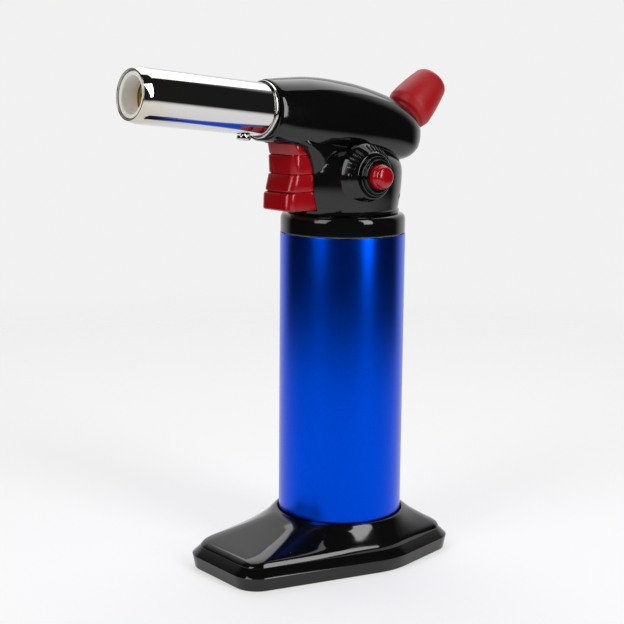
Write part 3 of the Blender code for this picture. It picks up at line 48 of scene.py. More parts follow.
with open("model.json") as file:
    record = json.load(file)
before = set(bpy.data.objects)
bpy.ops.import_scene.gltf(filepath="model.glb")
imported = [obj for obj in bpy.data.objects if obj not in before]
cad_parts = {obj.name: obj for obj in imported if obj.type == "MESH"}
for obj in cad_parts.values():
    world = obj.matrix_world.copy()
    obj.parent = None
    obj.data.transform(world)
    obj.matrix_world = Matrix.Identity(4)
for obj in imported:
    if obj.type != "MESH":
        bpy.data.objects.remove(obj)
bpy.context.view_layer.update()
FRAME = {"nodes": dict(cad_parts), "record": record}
MM = 0.001

# ---------------------------------------------------------------- sizes shared by several pieces, in mm
SLEEVE_LOW, SLEEVE_HIGH = (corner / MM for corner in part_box("tank_sleeve"))
AXIS_X = 0.5 * (SLEEVE_LOW.x + SLEEVE_HIGH.x)
SLEEVE_RADIUS = 25.0
SLEEVE_TOP = 131.7
BURNER_TILT = 0.100
BURNER_HEIGHT = 176.3
BURNER_LENGTH = 98.5
BURNER_RADIUS = 10.08
KNOB_TILT = math.radians(42.0)
KNOB_AT = Vector((33.4, 0.0, 178.9))
DIAL_AT = Vector((-4.0, 0.0, 155.3))
SAFETY_AT = Vector((0.0, 0.0, 146.3))
NECK_BASE = 139.9
TUBE_SCREW_PLACE = 48.0
DIAL_SCALE_RADIUS = 10.55
DIAL_SCALE_HEIGHT = 21.0
DIAL_CONE_SLOPE = math.radians(54.6)
HEAD_SCREWS = ((12.0, 147.0, 17.6), (30.0, 166.0, 8.6), (4.0, 183.4, 10.6))
STAND_SCREWS = ((-50.0, 12.0), (-50.0, -12.0), (29.0, 14.0), (29.0, -14.0))
AROUND = 128


# ---------------------------------------------------------------- settings
class StandSettings(bpy.types.PropertyGroup):
    """Sizes and colour of the stand."""

    chamfer: FloatProperty(name="Chamfer", description="Width of the stand's bevelled rim",
                           default=3.2, min=1, max=5)
    undercut: FloatProperty(name="Undercut", description="How far the band leans out above the bench",
                            default=1.0)
    height: FloatProperty(name="Height", description="Height of the stand at the tank's foot", default=18.3)
    colour: FloatVectorProperty(name="Plastic", description="Colour of the gloss plastic", subtype="COLOR",
                                default=(0.0035, 0.0035, 0.0038), min=0, max=1)


class TankSettings(bpy.types.PropertyGroup):
    """Finish of the tank's metal sleeve."""

    colour: FloatVectorProperty(name="Anodised blue", description="Colour of the sleeve", subtype="COLOR",
                                default=(0.0, 0.070, 0.72), min=0, max=1)
    roughness: FloatProperty(name="Roughness", description="How satin the sleeve is", default=0.24,
                             min=0, max=1, subtype="FACTOR")
    rolled_edge: FloatProperty(name="Rolled edge", description="Rounding of the sleeve's two ends",
                               default=0.35)


class HeadSettings(bpy.types.PropertyGroup):
    """Details moulded in the head."""

    seam: FloatProperty(name="Seam", description="Gap between the two shells",
                        default=0.12, min=0.02, max=0.4)
    groove: FloatProperty(name="Groove", description="Half-width of the two moulded arrows", default=0.24)
    tick_count: IntProperty(name="Marks", description="Raised marks on each side of the pointer",
                            default=5, min=2)
    tick_width: FloatProperty(name="Mark width", description="Width of one raised mark", default=0.72)


class BurnerSettings(bpy.types.PropertyGroup):
    """Details of the burner."""

    holes: IntProperty(name="Flame holes", description="Holes in the outer ring of the burner disc",
                       default=10)
    hole_radius: FloatProperty(name="Hole radius", description="Radius of one flame hole", default=0.75)


class ControlSettings(bpy.types.PropertyGroup):
    """Colours of the red controls."""

    gloss_red: FloatVectorProperty(name="Gloss red", description="Colour of the trigger and buttons",
                                   subtype="COLOR",
                                   default=(0.34, 0.0012, 0.005), min=0, max=1)
    satin_red: FloatVectorProperty(name="Satin red", description="Colour of the gas knob", subtype="COLOR",
                                   default=(0.42, 0.0015, 0.006), min=0, max=1)


class StageSettings(bpy.types.PropertyGroup):
    """Light and backdrop."""

    backdrop: FloatProperty(name="Backdrop", description="Brightness of the backdrop",
                            default=0.88, min=0, max=4)
    surround: FloatProperty(name="Surround", description="Brightness of the rest of the studio",
                            default=0.015, min=0)
    floor_glow: FloatProperty(name="Floor glow", description="Light that comes through the paper",
                              default=0.54, min=0)
    floor_radius: FloatProperty(name="Floor radius", description="Size of the sheet of paper", default=0.75,
                                min=0.2, unit="LENGTH")
    key: FloatProperty(name="Key light", description="Power of the light on the right", default=4.2, min=0)
    fill: FloatProperty(name="Fill light", description="Power of the light on the left", default=3.6, min=0)
    overhead: FloatProperty(name="Overhead", description="Power of the light above", default=3.2, min=0)


# ---------------------------------------------------------------- mesh tools
def catmull(rows, per_span):
    """Rows of numbers on a smooth curve through the given rows."""
    rows = [Vector(row) for row in rows]
    padded = [2 * rows[0] - rows[1]] + rows + [2 * rows[-1] - rows[-2]]
    made = []
    for a, b, c, d in zip(padded, padded[1:], padded[2:], padded[3:]):
        for i in range(per_span):
            t = i / per_span
            bend = (2 * a - 5 * b + 4 * c - d) * t * t + (3 * b - a - 3 * c + d) * t * t * t
            made.append(0.5 * (2 * b + (c - a) * t + bend))
    return made + [rows[-1]]


def filleted(points, steps=5):
    """(radius, height, rounding) corners as (radius, height) points, each corner rounded by that much."""
    made = []
    count = len(points)
    for i, (radius, height, rounding) in enumerate(points):
        here = Vector((radius, height))
        back = Vector(points[i - 1][:2]) - here
        ahead = Vector(points[(i + 1) % count][:2]) - here
        if rounding <= 0 or radius < 1e-6:
            made.append((radius, height))
            continue
        start = here + back.normalized() * min(rounding, 0.49 * back.length)
        end = here + ahead.normalized() * min(rounding, 0.49 * ahead.length)
        for k in range(steps + 1):
            t = k / steps
            made.append(tuple((1 - t) ** 2 * start + 2 * t * (1 - t) * here + t * t * end))
    return made


def revolve(points, steps=AROUND):
    """A body turned round Z from (radius, height) points: closed over the axis, or back on itself."""
    bm = bmesh.new()
    rings = []
    for radius, height in points:
        count = 1 if radius < 1e-6 else steps
        turn = [2 * math.pi * k / count for k in range(count)]
        rings.append([bm.verts.new((radius * math.cos(a), radius * math.sin(a), height)) for a in turn])
    pairs = list(zip(rings, rings[1:]))
    if len(rings[0]) > 1 or len(rings[-1]) > 1:
        pairs.append((rings[-1], rings[0]))
    for low, high in pairs:
        join_rings(bm, low, high, steps)
    return bm


def join_rings(bm, low, high, steps):
    for k in range(steps):
        n = (k + 1) % steps
        corners = [low[k % len(low)], low[n % len(low)], high[n % len(high)], high[k % len(high)]]
        face = list(dict.fromkeys(corners))
        if len(face) > 2:
            bm.faces.new(face)


def loft(rings, loop=False):
    """Rings of equal counts joined in order, with flat ends, or closed round into a loop."""
    bm = bmesh.new()
    rows = [[bm.verts.new(point) for point in ring] for ring in rings]
    pairs = list(zip(rows, rows[1:]))
    if loop:
        pairs.append((rows[-1], rows[0]))
    for low, high in pairs:
        join_rings(bm, low, high, len(low))
    if not loop:
        bm.faces.new(rows[0])
        bm.faces.new(rows[-1])
    return bm


def cube(low, high, rounding=0.0):
    """A box between two corners, with rounded edges if asked."""
    bm = bmesh.new()
    bmesh.ops.create_cube(bm, size=1.0)
    for vert in bm.verts:
        vert.co = Vector(low[i] + (vert.co[i] + 0.5) * (high[i] - low[i]) for i in range(3))
    if rounding:
        bmesh.ops.bevel(bm, geom=bm.edges[:], offset=rounding, segments=3, profile=0.5, affect="EDGES")
    return bm


def pole(radius, low, high):
    """(radius, height) points of a plain cylinder."""
    return [(0.0, low), (radius, low), (radius, high), (0.0, high)]


def peg(radius, low, high, steps, place=Matrix()):
    """A plain cylinder, as a helper."""
    return helper(revolve(pole(radius, low, high), steps), place)


def helper(bm, place=Matrix()):
    """A hidden object of a bmesh, for the Boolean tools."""
    bmesh.ops.recalc_face_normals(bm, faces=bm.faces)
    mesh = bpy.data.meshes.new("helper")
    bm.to_mesh(mesh)
    bm.free()
    mesh.transform(place)
    obj = bpy.data.objects.new("helper", mesh)
    bpy.context.scene.collection.objects.link(obj)
    return obj


def combine(obj, others, operation):
    """Joins other helpers to obj, or cuts them from it, and removes them."""
    for other in others:
        modifier = obj.modifiers.new("combine", "BOOLEAN")
        modifier.solver = "MANIFOLD"
        modifier.operation = operation
        modifier.object = other
    baked = evaluated_mesh(obj)
    obj.modifiers.clear()
    obj.data = baked
    for other in others:
        bpy.data.objects.remove(other)
    return obj


def evaluated_mesh(obj):
    graph = bpy.context.evaluated_depsgraph_get()
    graph.update()
    return bpy.data.meshes.new_from_object(obj.evaluated_get(graph))


def finish_piece(obj, name, body, slot, *nodes, angle=32.0, place=None):
    """Puts a shape in the frame, smooths it, hangs it on the body it rides on and hides the nodes it stands
    for.
    """
    if isinstance(obj, bmesh.types.BMesh):
        obj = helper(obj)
    if place:
        obj.data.transform(place)
    obj.data.transform(Matrix.Scale(MM, 4) @ Matrix.Translation((AXIS_X, 0, 0)))
    obj.name = name
    obj.data.name = name
    obj.data.materials.clear()
    obj.data.materials.append(MATERIALS[slot])
    obj.data.shade_smooth()
    obj.data.set_sharp_from_angle(angle=math.radians(angle))
    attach(obj, body)
    if nodes:
        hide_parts(*nodes)
    return obj


# ---------------------------------------------------------------- places
def burner_point(place, out=0.0):
    """A point in the middle plane, a distance along the burner's axis and a distance above it."""
    x = -place * math.cos(BURNER_TILT) + out * math.sin(BURNER_TILT)
    return Vector((x, 0.0, BURNER_HEIGHT + place * math.sin(BURNER_TILT) + out * math.cos(BURNER_TILT)))


def burner_frame(out=0.0):
    turn = Matrix.Rotation(BURNER_TILT - math.pi / 2, 4, "Y")
    return Matrix.Translation(burner_point(0.0, out)) @ turn


def knob_frame():
    return Matrix.Translation(KNOB_AT) @ Matrix.Rotation(math.pi / 2 - KNOB_TILT, 4, "Y")


def dial_frame():
    return Matrix.Translation(DIAL_AT) @ Matrix.Rotation(math.pi / 2, 4, "X")


def safety_frame():
    return Matrix.Translation(SAFETY_AT) @ Matrix.Rotation(math.pi / 2, 4, "Y")


# ---------------------------------------------------------------- node groups
def new_group(name, inputs, outputs):
    """A shader node group with named inputs (name, kind, default) and outputs (name, kind)."""
    tree = bpy.data.node_groups.new(name, "ShaderNodeTree")
    for label, kind, default in inputs:
        socket = tree.interface.new_socket(label, in_out="INPUT", socket_type=kind)
        socket.default_value = default
    for label, kind in outputs:
        tree.interface.new_socket(label, in_out="OUTPUT", socket_type=kind)
    return tree, tree.nodes.new("NodeGroupInput"), tree.nodes.new("NodeGroupOutput")


def feed(tree, socket, value):
    """Links another node's output to a socket, or sets the socket to a plain value."""
    if isinstance(value, bpy.types.NodeSocket):
        tree.links.new(value, socket)
    else:
        socket.default_value = value


def add_node(tree, kind, settings=None, **inputs):
    node = tree.nodes.new(kind)
    for key, value in (settings or {}).items():
        setattr(node, key, value)
    for label, value in inputs.items():
        feed(tree, node.inputs[label.replace("_", " ")], value)
    return node


def math_node(tree, operation, first, second=0.5, clamp=False):
    node = tree.nodes.new("ShaderNodeMath")
    node.operation = operation
    node.use_clamp = clamp
    for socket, value in zip(node.inputs, (first, second)):
        feed(tree, socket, value)
    return node.outputs[0]


def spread(tree, value, low, high, to_low, to_high):
    """A value taken smoothly from one range to another."""
    node = add_node(tree, "ShaderNodeMapRange", {"interpolation_type": "SMOOTHSTEP"}, Value=value,
                    From_Min=low, From_Max=high, To_Min=to_low, To_Max=to_high)
    return node.outputs["Result"]


def smudge_group():
    """Handling marks: broad soft patches and a fine haze, as a roughness."""
    tree, into, out = new_group(
        "handling_marks",
        [("Vector", "NodeSocketVector", (0, 0, 0)), ("Base", "NodeSocketFloat", 0.1),
         ("Amount", "NodeSocketFloat", 0.05)],
        [("Roughness", "NodeSocketFloat")],
    )
    vector = into.outputs["Vector"]
    broad = add_node(tree, "ShaderNodeTexNoise", Vector=vector, Scale=38.0, Detail=3.0, Roughness=0.55)
    fine = add_node(tree, "ShaderNodeTexNoise", Vector=vector, Scale=420.0, Detail=4.0, Roughness=0.6)
    patches = spread(tree, broad.outputs["Fac"], 0.42, 0.72, 0.0, 1.0)
    haze = spread(tree, fine.outputs["Fac"], 0.45, 0.75, 0.0, 0.5)
    mask = math_node(tree, "ADD", patches, haze, clamp=True)
    extra = math_node(tree, "MULTIPLY", mask, into.outputs["Amount"])
    tree.links.new(math_node(tree, "ADD", into.outputs["Base"], extra), out.inputs["Roughness"])
    return tree


def dust_group():
    """Sparse specks of dust that lie on faces turned upwards."""
    tree, into, out = new_group(
        "dust_specks",
        [("Vector", "NodeSocketVector", (0, 0, 0)), ("Scale", "NodeSocketFloat", 260.0),
         ("Density", "NodeSocketFloat", 0.02)],
        [("Mask", "NodeSocketFloat")],
    )
    cells = add_node(tree, "ShaderNodeTexVoronoi", {"feature": "F1"},
                     Vector=into.outputs["Vector"], Scale=into.outputs["Scale"])
    speck = spread(tree, cells.outputs["Distance"], 0.05, 0.11, 1.0, 0.0)
    parts = add_node(tree, "ShaderNodeSeparateColor", Color=cells.outputs["Color"])
    chosen = math_node(tree, "LESS_THAN", parts.outputs["Red"], into.outputs["Density"])
    normal = add_node(tree, "ShaderNodeNewGeometry")
    up = add_node(tree, "ShaderNodeSeparateXYZ", Vector=normal.outputs["Normal"])
    facing = spread(tree, up.outputs["Z"], -0.2, 0.7, 0.25, 1.0)
    lying = math_node(tree, "MULTIPLY", math_node(tree, "MULTIPLY", speck, chosen), facing)
    tree.links.new(lying, out.inputs["Mask"])
    return tree


def grain_group():
    """A fine all-over relief, as a height."""
    tree, into, out = new_group(
        "fine_grain",
        [("Vector", "NodeSocketVector", (0, 0, 0)), ("Scale", "NodeSocketFloat", 900.0),
         ("Stretch", "NodeSocketFloat", 1.0)],
        [("Height", "NodeSocketFloat")],
    )
    split = add_node(tree, "ShaderNodeSeparateXYZ", Vector=into.outputs["Vector"])
    tall = math_node(tree, "MULTIPLY", split.outputs["Z"], into.outputs["Stretch"])
    joined = add_node(tree, "ShaderNodeCombineXYZ", X=split.outputs["X"], Y=split.outputs["Y"], Z=tall)
    noise = add_node(tree, "ShaderNodeTexNoise", Vector=joined.outputs["Vector"],
                     Scale=into.outputs["Scale"], Detail=5.0, Roughness=0.65)
    tree.links.new(noise.outputs["Fac"], out.inputs["Height"])
    return tree


def scuff_group():
    """Thin random scratches, as a mask."""
    tree, into, out = new_group(
        "hair_scratches",
        [("Vector", "NodeSocketVector", (0, 0, 0)), ("Scale", "NodeSocketFloat", 60.0),
         ("Width", "NodeSocketFloat", 0.012)],
        [("Mask", "NodeSocketFloat")],
    )
    warp = add_node(tree, "ShaderNodeTexNoise", Vector=into.outputs["Vector"], Scale=45.0, Detail=2.0)
    mixed = add_node(tree, "ShaderNodeVectorMath", {"operation": "MULTIPLY_ADD"})
    tree.links.new(warp.outputs["Color"], mixed.inputs[0])
    mixed.inputs[1].default_value = (0.02, 0.02, 0.02)
    tree.links.new(into.outputs["Vector"], mixed.inputs[2])
    cells = add_node(tree, "ShaderNodeTexVoronoi", {"feature": "DISTANCE_TO_EDGE"},
                     Vector=mixed.outputs["Vector"], Scale=into.outputs["Scale"])
    line = math_node(tree, "LESS_THAN", cells.outputs["Distance"], into.outputs["Width"])
    sparse = add_node(tree, "ShaderNodeTexNoise", Vector=into.outputs["Vector"], Scale=70.0, Detail=1.0)
    kept = spread(tree, sparse.outputs["Fac"], 0.60, 0.66, 0.0, 1.0)
    tree.links.new(math_node(tree, "MULTIPLY", line, kept), out.inputs["Mask"])
    return tree


GROUPS = {}


def group_node(tree, name, **inputs):
    makers = {"marks": smudge_group, "dust": dust_group, "grain": grain_group, "scuffs": scuff_group}
    if name not in GROUPS:
        GROUPS[name] = makers[name]()
    node = tree.nodes.new("ShaderNodeGroup")
    node.node_tree = GROUPS[name]
    for label, value in inputs.items():
        feed(tree, node.inputs[label], value)
    return node


# ---------------------------------------------------------------- materials
def shader(name, colour, roughness, metallic=0.0, **sockets):
    """A material, its tree, its Principled node and its Object coordinates."""
    material = bpy.data.materials.new(name)
    material.use_nodes = True
    tree = material.node_tree
    node = tree.nodes["Principled BSDF"]
    node.inputs["Base Color"].default_value = (*colour, 1.0)
    node.inputs["Roughness"].default_value = roughness
    node.inputs["Metallic"].default_value = metallic
    for label, value in sockets.items():
        node.inputs[label.replace("_", " ")].default_value = value
    coordinates = tree.nodes.new("ShaderNodeTexCoord").outputs["Object"]
    material.diffuse_color = (*colour, 1.0)
    return material, tree, node, coordinates


def mix_colour(tree, factor, first, second):
    node = tree.nodes.new("ShaderNodeMix")
    node.data_type = "RGBA"
    tree.links.new(factor, node.inputs["Factor"])
    for socket, value in ((node.inputs[6], first), (node.inputs[7], second)):
        feed(tree, socket, value if isinstance(value, bpy.types.NodeSocket) else (*value, 1.0))
    return node.outputs[2]


def bump(tree, node, height, strength, distance=0.0001):
    made = add_node(tree, "ShaderNodeBump", Strength=strength, Distance=distance, Height=height)
    tree.links.new(made.outputs["Normal"], node.inputs["Normal"])


def gloss_plastic(name, colour, roughness, waviness=0.05, dust=0.02):
    """Moulded gloss plastic: faint mould waviness, handling marks, hair scratches and a little dust."""
    material, tree, node, where = shader(name, colour, roughness, IOR=1.5)
    marks = group_node(tree, "marks", Vector=where, Base=roughness, Amount=0.06)
    scuffs = group_node(tree, "scuffs", Vector=where, Scale=55.0, Width=0.006)
    dusty = group_node(tree, "dust", Vector=where, Scale=300.0, Density=dust)
    rough = math_node(tree, "MULTIPLY_ADD", scuffs.outputs["Mask"], 0.12)
    tree.links.new(marks.outputs["Roughness"], rough.node.inputs[2])
    dull = math_node(tree, "MAXIMUM", rough, math_node(tree, "MULTIPLY", dusty.outputs["Mask"], 0.6))
    tree.links.new(dull, node.inputs["Roughness"])
    pale = tuple(0.55 * part + 0.16 for part in colour)
    tree.links.new(mix_colour(tree, dusty.outputs["Mask"], colour, pale), node.inputs["Base Color"])
    grain = group_node(tree, "grain", Vector=where, Scale=55.0, Stretch=1.0)
    bump(tree, node, grain.outputs["Height"], waviness, 0.0004)
    return material


def satin_plastic(name, colour, roughness, grain_scale=1500.0, strength=0.35):
    """Moulded satin plastic or rubber with an eroded-mould grain."""
    material, tree, node, where = shader(name, colour, roughness, IOR=1.42)
    marks = group_node(tree, "marks", Vector=where, Base=roughness, Amount=0.10)
    tree.links.new(marks.outputs["Roughness"], node.inputs["Roughness"])
    grain = group_node(tree, "grain", Vector=where, Scale=grain_scale, Stretch=1.0)
    shade = spread(tree, grain.outputs["Height"], 0.3, 0.7, 0.0, 1.0)
    darker = tuple(0.86 * part for part in colour)
    tree.links.new(mix_colour(tree, shade, darker, colour), node.inputs["Base Color"])
    bump(tree, node, grain.outputs["Height"], strength, 0.00008)
    return material


def metal(name, colour, roughness, stretch=1.0, strength=0.1, amount=0.08, tint=None):
    """Bare or plated metal: a fine grain, run one way if stretched, with handling marks."""
    material, tree, node, where = shader(name, colour, roughness, 1.0)
    marks = group_node(tree, "marks", Vector=where, Base=roughness, Amount=amount)
    tree.links.new(marks.outputs["Roughness"], node.inputs["Roughness"])
    grain = group_node(tree, "grain", Vector=where, Scale=1400.0, Stretch=stretch)
    dark = tint or tuple(0.8 * part for part in colour)
    shade = spread(tree, grain.outputs["Height"], 0.25, 0.75, 0.0, 1.0)
    tree.links.new(mix_colour(tree, shade, dark, colour), node.inputs["Base Color"])
    bump(tree, node, grain.outputs["Height"], strength, 0.00005)
    return material


def anodised(name, colour, roughness):
    """Bead-blasted and anodised aluminium."""
    material, tree, node, where = shader(name, colour, roughness, 1.0)
    marks = group_node(tree, "marks", Vector=where, Base=roughness, Amount=0.025)
    tree.links.new(marks.outputs["Roughness"], node.inputs["Roughness"])
    grain = group_node(tree, "grain", Vector=where, Scale=2600.0, Stretch=0.35)
    shade = spread(tree, grain.outputs["Height"], 0.3, 0.7, 0.0, 1.0)
    dark = tuple(0.88 * part for part in colour)
    tree.links.new(mix_colour(tree, shade, dark, colour), node.inputs["Base Color"])
    bump(tree, node, grain.outputs["Height"], 0.22, 0.00004)
    return material


def chrome_with_painted_reflection(name):
    """Bright chrome plate with a painted reflection: a warm straw colour painted in towards the tube's mouth.
    """
    colour = (0.66, 0.65, 0.64)
    material, tree, node, where = shader(name, colour, 0.035, 1.0)
    marks = group_node(tree, "marks", Vector=where, Base=0.025, Amount=0.035)
    tree.links.new(marks.outputs["Roughness"], node.inputs["Roughness"])
    split = add_node(tree, "ShaderNodeSeparateXYZ", Vector=where)
    mouth = (AXIS_X - BURNER_LENGTH) * MM
    noise = add_node(tree, "ShaderNodeTexNoise", Vector=where, Scale=120.0, Detail=2.0)
    wander = math_node(tree, "MULTIPLY_ADD", noise.outputs["Fac"], 0.006)
    tree.links.new(split.outputs["X"], wander.node.inputs[2])
    # painted reflection: a warm straw colour mixed into the chrome's own colour near the mouth
    painted_reflection_share = spread(tree, wander, mouth, mouth + 0.022, 0.55, 0.0)
    tree.links.new(mix_colour(tree, painted_reflection_share, colour, (0.64, 0.56, 0.40)), node.inputs["Base Color"])
    grain = group_node(tree, "grain", Vector=where, Scale=70.0, Stretch=1.0)
    bump(tree, node, grain.outputs["Height"], 0.03, 0.0003)
    return material


def fired_ceramic(name):
    """White porous ceramic, a little scorched towards the flame."""
    colour = (0.93, 0.92, 0.88)
    material, tree, node, where = shader(name, colour, 0.75, Subsurface_Weight=0.05)
    noise = add_node(tree, "ShaderNodeTexNoise", Vector=where, Scale=260.0, Detail=6.0, Roughness=0.7)
    stain = spread(tree, noise.outputs["Fac"], 0.52, 0.85, 0.0, 0.6)
    tree.links.new(mix_colour(tree, stain, colour, (0.72, 0.67, 0.58)), node.inputs["Base Color"])
    grain = group_node(tree, "grain", Vector=where, Scale=1100.0, Stretch=1.0)
    bump(tree, node, grain.outputs["Height"], 0.5, 0.00012)
    return material


MATERIALS = {}


def make_materials(scene):
    """Every material of the torch, by the record's slot name."""
    controls = scene.torch_controls
    stand = scene.torch_stand
    tank = scene.torch_tank
    MATERIALS["stand_plastic"] = gloss_plastic("stand_gloss_black", tuple(stand.colour), 0.045, 0.035, 0.03)
    MATERIALS["head_plastic"] = gloss_plastic("head_gloss_black", tuple(stand.colour), 0.05, 0.04, 0.02)
    MATERIALS["red_gloss"] = gloss_plastic("gloss_red_plastic", tuple(controls.gloss_red), 0.16, 0.06, 0.008)
    MATERIALS["red_satin"] = satin_plastic("satin_red_plastic", tuple(controls.satin_red), 0.42)
    MATERIALS["sleeve_blue"] = anodised("blue_anodised_aluminium", tuple(tank.colour), tank.roughness)
    MATERIALS["chrome_plate"] = chrome_with_painted_reflection("chrome_plate")
    MATERIALS["zinc_steel"] = metal("zinc_plated_steel", (0.56, 0.57, 0.58), 0.28, tint=(0.42, 0.43, 0.46))
    MATERIALS["brass_metal"] = metal("turned_brass", (0.72, 0.50, 0.20), 0.26, tint=(0.52, 0.33, 0.12))
    MATERIALS["white_ceramic"] = fired_ceramic("fired_white_ceramic")
    MATERIALS["nylon"] = satin_plastic("natural_nylon", (0.72, 0.69, 0.60), 0.45, 600.0, 0.2)
    MATERIALS["seal_rubber"] = satin_plastic("black_seal_rubber", (0.02, 0.02, 0.021), 0.62, 1100.0, 0.4)
    MATERIALS["stand_foot"] = satin_plastic("foot_rubber", (0.032, 0.032, 0.034), 0.7, 800.0, 0.6)


def dress_frame_nodes():
    """Gives every carried-over node the material of its slot."""
    slots = {part["node"]: part["material_slot"] for part in FRAME["record"]["subparts"]}
    for name, obj in FRAME["nodes"].items():
        obj.data.materials.clear()
        obj.data.materials.append(MATERIALS[slots[name]])
        for polygon in obj.data.polygons:
            polygon.material_index = 0


# ---------------------------------------------------------------- stand
STAND_CORNERS = (
    (-61.3, -20.3, 9.8), (0.0, -35.3, 30.0), (38.2, -26.8, 9.8),
    (38.2, 26.8, 9.8), (0.0, 35.3, 30.0), (-61.3, 20.3, 9.8),
)
STAND_SLOPE = ((0.0, 8.45), (0.02, 9.2), (0.06, 10.1), (0.15, 11.0), (0.3, 12.15), (0.45, 13.35), (0.6, 14.6),
               (0.75, 15.95), (0.85, 17.0), (0.94, 17.9), (1.0, 18.2))
SOCKET_RADIUS = 25.3
SOCKET_FLOOR = 7.0
REFILL_OPENING = 12.5


def stand_outline(grow, arc_steps=26, side_steps=8):
    """Points round the stand in plan, every side moved out by grow."""
    arcs = []
    for i, (x, y, radius) in enumerate(STAND_CORNERS):
        here = Vector((x, y))
        back = (here - Vector(STAND_CORNERS[i - 1][:2])).normalized()
        ahead = (Vector(STAND_CORNERS[(i + 1) % len(STAND_CORNERS)][:2]) - here).normalized()
        out = Vector((back.y, -back.x))
        half = (out + Vector((ahead.y, -ahead.x))).normalized()
        place = here + half * (grow / half.dot(out))
        radius = max(radius + grow, 1.5)
        turn = back.angle(ahead)
        centre = place - back * radius * math.tan(turn / 2) + Vector((-back.y, back.x)) * radius
        start = math.atan2(-back.x, back.y)
        angles = [start + turn * k / arc_steps for k in range(arc_steps + 1)]
        arcs.append([centre + radius * Vector((math.cos(a), math.sin(a))) for a in angles])
    outline = []
    for i, points in enumerate(arcs):
        outline += points
        target = arcs[(i + 1) % len(arcs)][0]
        outline += [points[-1].lerp(target, k / side_steps) for k in range(1, side_steps)]
    return outline


def flat_ring(outline, height):
    return [(point.x, point.y, height) for point in outline]


def circle_ring(outline, radius, share, height):
    """A ring between the outline, at share 0, and a circle round the tank, at share 1."""
    return [(*point.lerp(point.normalized() * radius, share), height) for point in outline]


def build_stand_shell(settings):
    rim = settings.undercut - settings.chamfer
    rings = [flat_ring(stand_outline(grow), z) for grow, z in (
        (-0.35, 0.0), (-0.05, 0.12), (0.03, 0.4), (0.5 * settings.undercut, 2.8),
        (settings.undercut - 0.06, 5.05), (settings.undercut - 0.04, 5.3), (settings.undercut - 0.25, 5.6),
        (rim + 0.25, 8.05), (rim + 0.02, 8.28),
    )]
    edge = stand_outline(rim)
    for share, height in catmull(STAND_SLOPE, 3):
        rings.append(circle_ring(edge, 26.35, share, height))
    rings += [circle_ring(edge, radius, 1.0, z) for radius, z in (
        (26.1, settings.height), (10.0, settings.height), (10.0, 4.6), (28.2, 4.6), (28.6, 11.9))]
    rings += [flat_ring(stand_outline(grow), z) for grow, z in (
        (settings.undercut - 5.0, 6.2), (-2.6, 2.3), (-2.6, 0.25), (-2.35, 0.0))]
    shell = helper(loft(rings, loop=True))
    for x, y in STAND_SCREWS:
        combine(shell, [peg(3.0, 2.3, 8.7, 40, Matrix.Translation((x, y, 0)))], "UNION")
    socket = filleted([(0, SOCKET_FLOOR, 0), (SOCKET_RADIUS, SOCKET_FLOOR, 0.5),
                       (SOCKET_RADIUS, settings.height - 0.5, 0.5),
                       (SOCKET_RADIUS + 0.7, settings.height + 0.2, 0), (26, 30, 0), (0, 30, 0)])
    cutters = [helper(revolve(socket)), peg(REFILL_OPENING, 0.0, 17.0, 96)]
    for x, y in STAND_SCREWS:
        cutters.append(peg(1.5, 0.0, 6.9, 32, Matrix.Translation((x, y, 0))))
    combine(shell, cutters, "DIFFERENCE")
    return finish_piece(shell, "stand_body", "torch", "stand_plastic", "stand_shell")


def build_stand_plate():
    """The moulded plate under the stand: a raised rim, a ring round the filling hole and four screw seats."""
    outline = stand_outline(-2.9)
    plate = helper(loft([flat_ring(outline, 0.25), flat_ring(stand_outline(-3.1), 0.0),
                         flat_ring(stand_outline(-5.6), 0.0), flat_ring(stand_outline(-5.8), 0.5),
                         circle_ring(outline, 17.0, 1.0, 0.5), circle_ring(outline, 16.8, 1.0, 0.1),
                         circle_ring(outline, 10.0, 1.0, 0.1), circle_ring(outline, 10.0, 1.0, 2.0),
                         flat_ring(outline, 2.0)], loop=True))
    seats = [peg(4.2, 0.1, 1.9, 48, Matrix.Translation((x, y, 0))) for x, y in STAND_SCREWS]
    combine(plate, seats, "UNION")
    cutters = [peg(REFILL_OPENING, -1.0, 3.0, 96)]
    seat = [(0.0, -1.0), (2.9, -1.0), (2.9, 1.6), (1.5, 1.6), (1.5, 3.0), (0.0, 3.0)]
    cutters += [helper(revolve(seat, 40), Matrix.Translation((x, y, 0))) for x, y in STAND_SCREWS]
    combine(plate, cutters, "DIFFERENCE")
    return finish_piece(plate, "stand_base_plate", "torch", "stand_foot", "stand_plate")


# ---------------------------------------------------------------- geometry nodes
def geometry_tree(name, inputs):
    """A geometry tree with named inputs, and the sockets that come out of its input node."""
    tree = bpy.data.node_groups.new(name, "GeometryNodeTree")
    for label, kind, default in inputs:
        socket = tree.interface.new_socket(label, in_out="INPUT", socket_type=kind)
        if default is not None:
            socket.default_value = default
    tree.interface.new_socket("Geometry", in_out="OUTPUT", socket_type="NodeSocketGeometry")
    tree.is_modifier = True
    return tree, tree.nodes.new("NodeGroupInput"), tree.nodes.new("NodeGroupOutput")


def realise(tree, into, out, instances):
    """Ends a geometry tree: real meshes, in the material named by its input."""
    real = tree.nodes.new("GeometryNodeRealizeInstances")
    paint = tree.nodes.new("GeometryNodeSetMaterial")
    tree.links.new(instances, real.inputs[0])
    tree.links.new(real.outputs[0], paint.inputs["Geometry"])
    tree.links.new(into.outputs["Material"], paint.inputs["Material"])
    tree.links.new(paint.outputs[0], out.inputs[0])


def set_copies(tree, into, points, turn):
    """The node that sets the Piece input at every point, turned."""
    piece = tree.nodes.new("GeometryNodeObjectInfo")
    place = tree.nodes.new("GeometryNodeInstanceOnPoints")
    tree.links.new(into.outputs["Piece"], piece.inputs["Object"])
    tree.links.new(points, place.inputs["Points"])
    tree.links.new(piece.outputs["Geometry"], place.inputs["Instance"])
    tree.links.new(turn, place.inputs["Rotation"])
    return place.outputs["Instances"]


